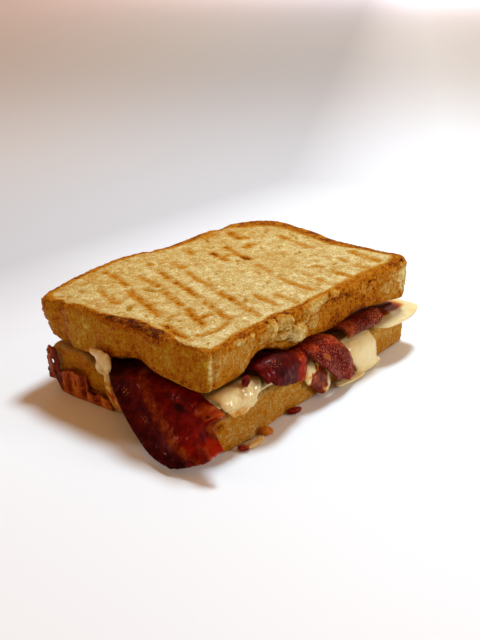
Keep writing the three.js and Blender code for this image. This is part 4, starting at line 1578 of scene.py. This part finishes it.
RASHERS = (
    Rasher(
        name="bacon_front_rasher", node="bacon_front",
        strip=Strip(
            Axis.ACROSS,
            profile=(
                (-24, 22.2), (-48, 22.2), (-60, 22.8), (-67.4, 22.4), (-73, 18.6), (-78.2, 11.8),
                (-82.2, 5.4), (-86, 2.2),
            ),
            zero=3,
            near=((-24, 30), (-10, 14.5), (3.4, 5.6), (13.4, -7), (22.4, -20), (27.6, -33), (28.8, -46)),
            far=((-42, 14), (-27, -5), (-13, -23), (-2, -39), (3, -55.5), (9, -55), (15.6, -61)),
            thick=RASHER_THICK, ripple=front_ripple, cut=0.03,
        ),
        streaks=(
            Streak(
                (
                    (0.4, -0.1), (0.45, -0.16), (0.53, -0.19), (0.62, -0.31), (0.77, -0.25), (0.92, -0.16),
                    (1, 0.03),
                ),
                0.18,
            ),
        ),
        dabs=(
            Dab(0.7, -0.8, 0.6, 0.5, tone=-0.12, speck=-0.1), Dab(0.78, 0.25, 0.3, 0.5, tone=0.1),
            Dab(0.96, 0.75, 0.1, 0.4, tone=0.26, fat=0.1), Dab(0.95, 0.4, 0.09, 0.26, fat=0.34),
            # the dab at t 0.28 darkens the rasher where it comes out from under the top slice: painted
            # shade, put into its tone and char
            Dab(1, -0.5, 0.14, 0.4, tone=-0.08), Dab(0.28, 0.2, 0.14, 2, tone=-0.12, char=0.35),
            Dab(0.575, 0.3, 0.04, 0.15, char=0.85), Dab(0.64, 0.8, 0.085, 0.36, fat=0.8, tone=0.2),
            Dab(0.675, 0.69, 0.022, 0.08, char=0.8, fat=-0.3), Dab(0.81, 0.97, 0.12, 0.2, fat=0.75),
            # the two small dabs near the left edge are painted glints
            Dab(0.46, -0.69, 0.03, 0.14, speck=1.0), Dab(0.6, -0.6, 0.04, 0.1, speck=0.7),
        ),
        cuts=(190, 3, 64), seed=41,
    ),
    Rasher(
        name="bacon_fold_rasher", node="bacon_fold",
        strip=Strip(
            Axis.ALONG,
            profile=(
                (-20, 22.4), (-31, 22.6), (-40.5, 26.2), (-47.6, 28.6), (-52, 25), (-52.2, 18.6), (-51, 12)
            ),
            zero=3, near=((-30, -41), (-15, -42.5), (0, -44.5), (8, -42.5)),
            far=((-30, -17), (-12, -16), (4, -15.5), (18.5, -15)), thick=RASHER_THICK, ripple=fold_ripple,
        ),
        streaks=(
            Streak(((0, 0.6), (1, 0.66)), 0.05, 0.03, 12),
            Streak(((0, 0.88), (1, 0.82)), 0.08, 0.03, 14, 1.0),
        ),
        dabs=(
            Dab(0.75, -0.1, 0.4, 0.9, tone=-0.1), Dab(0.72, -0.5, 0.06, 0.3, speck=0.5),
            Dab(0.85, 0.72, 0.2, 0.3, tone=0.2),
        ),
        cuts=(90, 3, 60), seed=43,
    ),
    Rasher(
        name="bacon_flap_rasher", node="bacon_flap",
        strip=Strip(
            Axis.ALONG,
            profile=(
                (-20, 22.4), (-32, 22.6), (-42, 24.6), (-48.6, 24.2), (-51.6, 18), (-52.8, 10), (-53.6, 3)
            ),
            zero=3, near=((-28, -13), (-14, -13.2), (-2, -13.6), (6, -8), (13, -0.5), (18.5, 5)),
            far=((-28, 1.5), (-14, 2), (-4, 5), (4.5, 11), (12, 15.8), (21.5, 18.4)), thick=RASHER_THICK,
            ripple=flap_ripple,
        ),
        streaks=(Streak(((0, 0.75), (0.5, 0.8), (1, 0.9)), 0.12),),
        dabs=(
            Dab(0.45, 0.6, 0.15, 0.5, fat=0.25, tone=0.15), Dab(0.45, -0.6, 0.1, 0.4, fat=0.25, tone=0.1),
            Dab(0.6, -0.4, 0.06, 0.2, fat=0.9, speck=1.1), Dab(0.55, -0.1, 0.06, 0.3, speck=0.6),
            Dab(0.9, 0.2, 0.12, 0.8, tone=0.1),
        ),
        cuts=(96, 3, 48), seed=47, tone=0.44, fatty=0.08, speck=1.0,
    ),
    Rasher(
        name="bacon_roll_rasher", node="bacon_roll",
        strip=Strip(
            Axis.ALONG,
            profile=(
                (-14, 22.2), (-28, 22.2), (-38, 23.3), (-45.6, 25.3), (-49.8, 23.6), (-48.8, 20.8),
                (-45.2, 20.2),
            ),
            zero=3, near=((-25, 15), (-24, 26), (-23, 36), (-22, 46), (-20, 62)),
            far=((-8, 11.5), (5, 15.5), (10.5, 22), (11, 32), (7.5, 41), (-3, 46), (-3, 62)),
            thick=RASHER_THICK, ripple=roll_ripple,
        ),
        streaks=(Streak(((0, 0.84), (0.3, 0.9), (1, 0.9)), 0.09),),
        dabs=(
            Dab(0.58, 0.75, 0.12, 0.5, speck=0.7, fat=0.12), Dab(0.2, 0.8, 0.14, 0.5, tone=0.05, fat=0.25),
            Dab(0.85, 0.8, 0.2, 0.8, char=0.35),
        ),
        cuts=(120, 3, 60), seed=53, tone=0.4, fatty=0.18, speck=0.6,
    ),
)


# ---------------------------------------------------------------- cheese

# how the cheese turns over the lower slice's long crust
OVER_CRUST = ((-36, 17.6), (-43, 17.8), (-47.2, 16.6), (-48.6, 12.6), (-48.8, 8), (-49.2, 4))

DRAPES = (
    Strip(
        Axis.ALONG,
        profile=((-36, 17.4), (-43, 17.45), (-47.6, 16.1), (-50, 12.6), (-50.4, 8), (-50.8, 1.8)), zero=1,
        near=((-6, 15), (5, 16), (11, 18), (16, 22), (21.4, 25.6)),
        far=((-6, 37), (4, 37.4), (10, 38.4), (16, 39), (19, 43), (21, 40)), thick=3.1, cut=0.06,
        thinning=0.3,
    ),
    Strip(
        Axis.ALONG, profile=((-48.6, 2.4), (-50, 2), (-53.6, 1.4)), zero=1,
        near=((-1.4, 10), (0, 8.4), (2, 9), (3.4, 14)), far=((-1.4, 27), (0, 30), (2, 28.4), (3.8, 25.4)),
        thick=1.6, cut=0.02, thinning=0.3,
    ),
    Strip(
        Axis.ALONG, profile=(*OVER_CRUST, (-50, 1)), zero=1,
        near=((-6, -17), (3, -16), (8, -14), (13, -10.5), (17, -6), (20, -3)),
        far=((-6, -5), (3, -4), (8.4, 1.6), (12, 4.6), (17, 5), (20, 2.6)), thick=2.6, cut=0.08,
        thinning=0.25,
    ),
    Strip(
        Axis.ALONG, profile=((-34, 18.4), (-41, 21), (-46, 22.4), (-49.2, 19.4), (-49.8, 13)), zero=2,
        near=((-10, -65), (0, -65.6), (5, -64.5), (7.5, -60)),
        far=((-10, -41), (-1, -40), (3, -41.5), (7, -45)), thick=3.6, cut=0.1, thinning=0.25,
    ),
    Strip(
        Axis.ALONG, profile=(*OVER_CRUST, (-50.6, 1)), zero=1, near=((-6, -60), (4, -60.5), (9.5, -58)),
        far=((-6, -42), (3, -43), (8.5, -42)), thick=1.7, cut=0.1, thinning=0.25,
    ),
    Strip(
        Axis.ACROSS, profile=((-60, 17.6), (-66, 18.6), (-70, 17.4), (-70.6, 12), (-69.8, 6), (-68.4, 2.4)),
        zero=1, near=((-5, 13), (4, 9.6), (10, 8), (16, 6.6), (19, 4.4)),
        far=((-5, 4), (4, 5.4), (9, 3.4), (14, -0.6), (19, -2.4)), thick=1.9, cut=0.06, thinning=0.25,
    ),
)


@dataclass
class CheeseMelt(Food):
    """The melted sheet inside the sandwich with the drapes and blobs that ran out of it."""

    finish: ClassVar[Finish] = MeltedCheese()
    name: str = "cheese_melted_sheet"
    node: str = "cheese_melt"
    span: Point = (-66.2, 33.5, -46.0, 42.6)
    sheet_cuts: tuple[int, int, int] = (100, 90, 4)
    drape_cuts: tuple[int, int, int] = (40, 3, 30)
    voxel: float = 0.62
    softness: float = 0.5
    soft_rounds: int = 6
    seed: int = 61
    blobs: tuple[tuple[Point, Point], ...] = (
        ((-69.6, 11, 20.4), (2.6, 2.8, 3.4)), ((-71.6, 8.6, 25.4), (1.5, 3.6, 3.9)),
        ((-71.2, 12.6, 26.8), (1.2, 3.6, 2.0)), ((-71.8, 5.4, 24.0), (1.5, 2.4, 5.0)),
        ((28, -50.2, 2.8), (3.2, 1.6, 1.7)),
    )

    def sheet(self) -> Object:
        """The sheet, with a soft rounded rim.

        Returns:
            The sheet, as a piece of its own.
        """
        west, east, south, north = self.span
        bm = grid_block(*self.sheet_cuts)
        u, v, w = positions(bm).T
        round_off = (np.abs(u) ** 8 + np.abs(v) ** 8 + 1e-12) ** (-1 / 8)
        ring = np.maximum(np.abs(u), np.abs(v))
        pull = 1 + (ring * round_off - 1)
        thin = ring**10
        bulge = 1.2 * (1 - w * w) * thin
        y = (south + north) / 2 + ((north - south) / 2 + bulge) * v * pull
        west = west + 25 * ramp(y, 12, 22)
        x = (west + east) / 2 + ((east - west) / 2 + bulge) * u * pull
        wave = 0.7 * thin * np.sin(x / 5) * np.cos(y / 6)
        heap = 2.4 * ramp(x, -16, 4) * ramp(y, -8, 12) * (1 - 0.3 * thin)
        thick = CHEESE_THICK - 0.5 * thin + wave * 0.4 + heap
        z = LOWER_SLICE.topside(x, y) + GAP + (w + 1) / 2 * thick
        return finished(bm, stacked(x, y + wave, z), "sheet")

    def parts(self) -> list[Object]:
        """Builds the sheet, the drapes and the blobs.

        Returns:
            The parts, still separate.
        """
        made = [self.sheet()]
        for strip in DRAPES:
            bm = grid_block(*self.drape_cuts)
            block = positions(bm)
            t, v, s, e = strip.flat(block)
            points = strip.bent(s, e, strip.lift(block, t, v, s, e))
            made.append(finished(bm, points, "drape"))
        for centre, half in self.blobs:
            bm = ball_block(4)
            made.append(finished(bm, positions(bm) * half + centre, "blob"))
        return made

    def build(self) -> Object:
        """Joins the parts, lets them flow into each other and ripples the surface.

        Returns:
            The melt.
        """
        parts = self.parts()
        bpy.ops.object.select_all(action="DESELECT")
        for part in parts:
            part.select_set(True)
        bpy.context.view_layer.objects.active = parts[0]
        bpy.ops.object.join()
        piece = parts[0]
        piece.name = piece.data.name = self.name
        melt = piece.modifiers.new("melt", "REMESH")
        melt.mode = "VOXEL"
        melt.voxel_size = self.voxel * METRES
        melt.use_smooth_shade = True
        soften = piece.modifiers.new("soften", "SMOOTH")
        soften.factor = self.softness
        soften.iterations = self.soft_rounds
        bpy.context.view_layer.objects.active = piece
        for modifier in (melt, soften):
            bpy.ops.object.modifier_apply(modifier=modifier.name)
        piece.select_set(False)
        points = mesh_points(piece)
        wander = Grain(self.seed)
        normals = mesh_normals(piece)
        outside = np.maximum(ramp(points[:, 1], -45, -47), ramp(points[:, 0], -66, -68))
        height = outside * (0.5 * wander.rough(points, 6) + 0.25 * wander.rough(points, 2.4))
        folds = wander.rough(points * (1.2, 0.5, 0.4) + 30, 2.4)
        height += 0.9 * outside * folds * bump(points[:, 0] + 53, 16)
        raise_by(piece, height)
        x, _, z = points.T
        browned = 0.08 + 0.1 * wander.rough(points, 8)
        singed = 0.35 - 0.3 * ramp(x, 3, 9) * ramp(x, 38, 32)
        browned += singed * ramp(z, 3.5, 0.5) * ramp(normals[:, 2], -1, 0)
        spots = 0.5 + 0.8 * wander.rough(points, 2.0)
        patch = bump(np.hypot((x + 4.2) * 0.85, (z - 8.2) * 0.62), 8.4)
        crisp = ramp(patch + 0.5 * wander.rough(points, 2.6), 0.25, 0.6) * (0.4 + 1.1 * spots)
        smear = ramp(z, 16.5, 14) * ramp(x, -45, -53) * spots
        drip = ramp(x, -66, -69) * (0.02 + 0.1 * spots)
        drip += 0.22 * ramp(x, -3, -6) * ramp(x, -20, -16) * ramp(z, 9, 13)
        browned += outside * (0.74 * crisp + 0.36 * smear + drip)
        browned -= 0.45 * outside * bump(np.hypot(x + 8.2, (z - 14) * 0.6), 4.6)
        paint(piece, browned=browned)
        return piece


@dataclass
class CornerSlice(Food):
    """The thin slice of cheese whose corner sticks out at the sandwich's corner."""

    finish: ClassVar[Finish] = MeltedCheese()
    name: str = "cheese_corner_slice"
    node: str = "cheese_corner"
    sw: Point = (42.5, -51.4)
    se: Point = (76.4, -49.6)
    nw: Point = (36.5, 40)
    ne: Point = (68, 42)
    cuts: tuple[int, int, int] = (70, 150, 5)
    seed: int = 67

    def between(self, u: Array, v: Array, k: int) -> Array:
        """One coordinate of a place between the four corners.

        Args:
            u: how far east, from -1 to 1.
            v: how far north, from -1 to 1.
            k: which coordinate is worked out.

        Returns:
            The coordinate of each place.
        """
        e, n = (u + 1) / 2, (v + 1) / 2
        south = self.sw[k] * (1 - e) + self.se[k] * e
        north = self.nw[k] * (1 - e) + self.ne[k] * e
        return south * (1 - n) + north * n

    def build(self) -> Object:
        """Builds the slice, with a front edge that bows out and softened rims.

        Returns:
            The slice.
        """
        bm = grid_block(*self.cuts)
        u, v, w = positions(bm).T
        ring = np.maximum(np.abs(u), np.abs(v))
        square = np.abs(u) ** 16 + np.abs(v) ** 16 + 1e-12
        pull = 1 + ring * (ring * square ** (-1 / 16) - 1)
        x = self.between(u * pull, v * pull, 0)
        bow = 3.4 * (1 - u * u) * ramp(v, -0.6, -1)
        y = self.between(u * pull, v * pull, 1) - bow
        outside = ramp(y, -44, -56) + ramp(x, 69, 77)
        heap = 1.2 * ramp(y, -32, -8)
        rounded = 1 - 0.35 * np.abs(w) ** 3 * ring**30
        thick = (3 + heap - 1.1 * ring**10) * rounded
        z = LOWER_THICK + GAP + 1.5 + heap / 2 + 0.5 * outside + w * thick / 2
        points = stacked(x, y, z)
        wander = Grain(self.seed)
        points[:, 2] += outside * 0.35 * wander.rough(points * (1, 1, 0), 6)
        piece = finished(bm, points, self.name)
        rim = ring**20
        browned = 0.08 + 0.08 * wander.rough(points, 9) - 0.06 * rim
        # browned along the near edge under the end of the rolled rasher: bacon grease and painted shadow of
        # the roll
        stain_and_shadow = ramp(y + 0.9 * wander.rough(points, 3), -46.5, -43.5)
        browned += 0.62 * stain_and_shadow * ramp(x, 48, 54) * ramp(x, 73, 66)
        paint(piece, browned=browned)
        return piece


@dataclass
class CrispSkirt(Food):
    """Cheese that ran out on the hot plate and set into a thin crisp fringe."""

    finish: ClassVar[Finish] = CrispCheese()
    name: str = "cheese_crisp_fringe"
    node: str = "cheese_skirt"
    path: SmoothLine = SmoothLine(
        ((-68.3, 8), (-68.6, 15.5), (-69.2, 23), (-69.9, 30.5), (-69.6, 38), (-71, 44.8))
    )
    holes: tuple[Point, ...] = (
        (0.945, 0.85, 0.022, 0.07), (0.9, 0.6, 0.022, 0.09), (0.87, 0.28, 0.012, 0.06),
        (0.52, 0.6, 0.012, 0.1),
    )
    cuts: tuple[int, int] = (170, 44)
    thick: float = 0.9
    seed: int = 71

    def build(self) -> Object:
        """Builds the fringe: fluted, frayed along its upper edge and pierced by bubbles.

        Returns:
            The fringe.
        """
        bm = bmesh.new()
        bmesh.ops.create_grid(bm, x_segments=self.cuts[0], y_segments=self.cuts[1], size=1)
        block = positions(bm)
        t, h = (block[:, 0] + 1) / 2, (block[:, 1] + 1) / 2
        wander = Grain(self.seed)
        across = stacked(t * 34, h * 12, 0 * t)
        wobble = wander.rough(across, 4)
        gaps = [np.hypot((t - a) / c, (h - b) / d) + 0.3 * wobble for a, b, c, d in self.holes]
        pierced = np.min(gaps, axis=0) < 1
        frayed = 0.05 * wander.rough(stacked(0 * t, h * 16, 0 * t), 3) * ramp(t, 0.84, 1)
        t = t - np.clip(frayed + 0.02 * ramp(t, 0.84, 1), 0, 1)
        here = self.path.at(t)
        way = self.path.at(np.minimum(t + 0.01, 1)) - self.path.at(np.maximum(t - 0.01, 0))
        way /= np.linalg.norm(way, axis=1)[:, None]
        height = (
            5.4 + 7 * ramp(t, 0.33, 0.39) - 2.6 * ramp(t, 0.62, 0.78) + 11.4 * ramp(t, 0.8, 0.86)
            - 2.5 * ramp(t, 0.93, 1)
            + (1.2 + 1.4 * ramp(t, 0.8, 0.86)) * wander.rough(stacked(t * 38, 0 * t, 0 * t), 2.5)
        )
        drift = 2.4 * wander.rough(stacked(t * 38, 0 * t, 0 * t + 9), 8)
        flute = 0.6 * np.sin(30 * t + drift + 1.2 * wobble) * ramp(h, 0, 0.5)
        lift = flute + 0.5 * wobble * h - 1.6 * (1 - h) ** 2
        foot = 0.35 + 5.2 * ramp(t, 0.78, 0.9)
        z = foot + (height - foot) * h
        x = here[:, 0] - way[:, 1] * lift
        y = here[:, 1] + way[:, 0] * lift
        # the brown follows the slope of the flutes, lighter on one flank and darker on the other: painted
        # light and shade
        browned = 0.28 + 0.14 * np.sin(30 * t + drift + 1.2 * wobble + 1.5)
        browned = browned + 0.14 * ramp(t, 0.7, 0.9) + 0.42 * wobble - 0.2 * ramp(t, 0.3, 0.12)
        shade = bm.verts.layers.float.new("browned")
        for vert, value, place in zip(bm.verts, browned, stacked(x, y, z)):
            vert[shade] = value
            vert.co = place
        lost = [v for v, gone in zip(bm.verts, pierced) if gone]
        bmesh.ops.delete(bm, geom=lost, context="VERTS")
        bmesh.ops.solidify(bm, geom=bm.faces, thickness=self.thick)
        bmesh.ops.recalc_face_normals(bm, faces=bm.faces)
        return finished(bm, positions(bm), self.name)


# ---------------------------------------------------------------- crumbs


class Bit(Enum):
    """What a loose bit is made of."""

    CRISP = CrispCheese()
    CHEESE = MeltedCheese()
    BACON = FriedBacon()


@dataclass
class Crumb(Food):
    """A bit that fell out and lies against the base: place, half-sizes and turn about Z."""

    kind: Bit
    at: Point
    half: Point
    turn: float
    seed: int

    @property
    def finish(self) -> Finish:
        """What the bit is made of."""
        return self.kind.value

    def build(self) -> Object:
        """Builds the bit with its broken, lumpy surface.

        Returns:
            The bit.
        """
        bm = ball_block(5)
        ball = positions(bm)
        lumps = Grain(self.seed)
        ball = ball * (1 + 0.22 * lumps.rough(ball, 1.1) + 0.08 * lumps.at(ball, 0.3))[:, None]
        c, s = math.cos(self.turn), math.sin(self.turn)
        x, y, z = (ball * self.half).T
        points = stacked(x * c - y * s, x * s + y * c, z) + self.at
        points[:, 2] = np.maximum(points[:, 2], 0.05)
        piece = finished(bm, points, self.name)
        tone = 0.5 + 0.5 * lumps.rough(points, 1.5)
        if self.kind is Bit.BACON:
            paint(piece, fat=0.5 * tone, char=0.1 * tone, speck=0.2 * tone, tone=0.3 + 0.4 * tone)
        else:
            browned = -0.08 if self.kind is Bit.CRISP else 0.05
            paint(piece, browned=browned + 0.2 * tone)
        return piece


CRUMBS = tuple(
    Crumb(*row)
    for row in (
        ("crisp_bead_bit", "crisp_bead", Bit.CRISP, (-42.2, -52.1, 1.9), (2.9, 1.9, 1.8), -0.87, 81),
        ("cheese_flake_bit", "cheese_flake", Bit.CHEESE, (-50, -53.6, 1.1), (5.2, 1.9, 1), 0.1, 82),
        ("bacon_near_bit", "bacon_bit_near", Bit.BACON, (-57.2, -53, 1.4), (2.3, 1.4, 1.3), -0.87, 83),
        ("bacon_far_bit", "bacon_bit_far", Bit.BACON, (-20.8, -49.9, 1.4), (3.6, 1.3, 1.3), -0.28, 84),
        ("bacon_chip_bit", "bacon_chip", Bit.BACON, (-51.2, -49.2, 26.1), (2.4, 1.2, 2.3), 0.1, 85),
    )
)


# ---------------------------------------------------------------- studio


@dataclass
class SoftBox:
    """A large soft lamp: where it stands, what it looks at, its size, power and colour."""

    name: str
    at: Point
    aim: Point
    size: float
    power: float
    colour: str

    def build(self) -> None:
        """Sets up the lamp."""
        lamp = bpy.data.lights.new(self.name, "AREA")
        lamp.shape = "DISK"
        lamp.size = self.size
        lamp.energy = self.power
        lamp.color = linear(self.colour)[:3]
        holder = bpy.data.objects.new(self.name, lamp)
        holder.location = self.at
        way = Vector(self.aim) - Vector(self.at)
        holder.rotation_euler = way.to_track_quat("-Z", "Y").to_euler()
        bpy.context.scene.collection.objects.link(holder)


@dataclass
class Studio:
    """The pale floor, the soft light and the camera."""

    floor_half: float = 12.0
    azimuth: float = -49.85888
    elevation: float = 22.92979
    eye: Point = (-0.301320, -0.257273, 0.188870)
    lens: float = 54.11
    sensor: float = 36.0
    clip: Point = (0.01, 50)
    air: str = "#ffb264"
    air_strength: float = 0.4
    lamps: tuple[SoftBox, ...] = tuple(
        SoftBox(*row)
        for row in (
            ("key", (0.32, 0.08, 0.79), (0, 0, 0.02), 0.19, 7.7, "#dcf0ff"),
            ("side", (0.36, -0.4, 0.75), (0, 0, 0.02), 0.16, 0.4, "#e0f0ff"),
            ("front", (0.3, -0.7, 0.3), (0, 0, 0.02), 0.2, 2.1, "#f2f6ff"),
            ("glint", (-0.5, 0.6, 0.5), (0, 0, 0.02), 0.06, 0.45, "#fff2ee"),
            ("far", (2.0, 1.2, 0.9), (2.3, 1.4, 0), 0.9, 17.0, "#f4f4ff"),
            ("back", (0.9, 1.6, 0.9), (0.9, 1.7, 0), 0.9, 3.0, "#cfe0ff"),
            ("middle", (1.0, 0.72, 0.5), (1.02, 0.74, 0), 0.8, 1.6, "#d8f0f0"),
        )
    )

    def floor(self) -> None:
        """Lays the paper."""
        bm = bmesh.new()
        bmesh.ops.create_grid(bm, x_segments=2, y_segments=2, size=self.floor_half / METRES)
        paper = finished(bm, positions(bm), "paper")
        paper.data.materials.append(StudioPaper().material())

    def camera(self) -> None:
        """Puts the camera where the sandwich is seen from."""
        lens = bpy.data.cameras.new("camera")
        lens.lens = self.lens
        lens.sensor_width = self.sensor
        lens.clip_start, lens.clip_end = self.clip
        holder = bpy.data.objects.new("camera", lens)
        a, e = math.radians(self.azimuth), math.radians(self.elevation)
        back = Vector((math.sin(a) * math.cos(e), -math.cos(a) * math.cos(e), math.sin(e)))
        holder.location = self.eye
        holder.rotation_euler = (-back).to_track_quat("-Z", "Y").to_euler()
        bpy.context.scene.collection.objects.link(holder)
        bpy.context.scene.camera = holder

    def air_light(self) -> None:
        """Fills the studio with even light."""
        world = bpy.data.worlds.new("studio_air")
        world.use_nodes = True
        world.node_tree.nodes.clear()
        air = {"Color": self.air, "Strength": self.air_strength}
        glow = add_node(world.node_tree, "Background", {}, air)
        add_node(world.node_tree, "OutputWorld", {}, {"Surface": glow})
        bpy.context.scene.world = world

    def build(self) -> None:
        """Sets up the studio."""
        self.floor()
        self.camera()
        self.air_light()
        for lamp in self.lamps:
            lamp.build()
        bpy.context.scene.view_settings.view_transform = "Standard"


def main() -> None:
    """Builds the sandwich from the bottom up, and the studio round it."""
    logging.basicConfig(level=logging.INFO, format="%(name)s: %(message)s")
    Studio().build()
    pieces = (LOWER_SLICE, CheeseMelt(), CornerSlice(), CrispSkirt(), *RASHERS, UPPER_SLICE, *CRUMBS)
    for piece in pieces:
        piece.dress(piece.build())


if __name__ == "__main__":
    main()
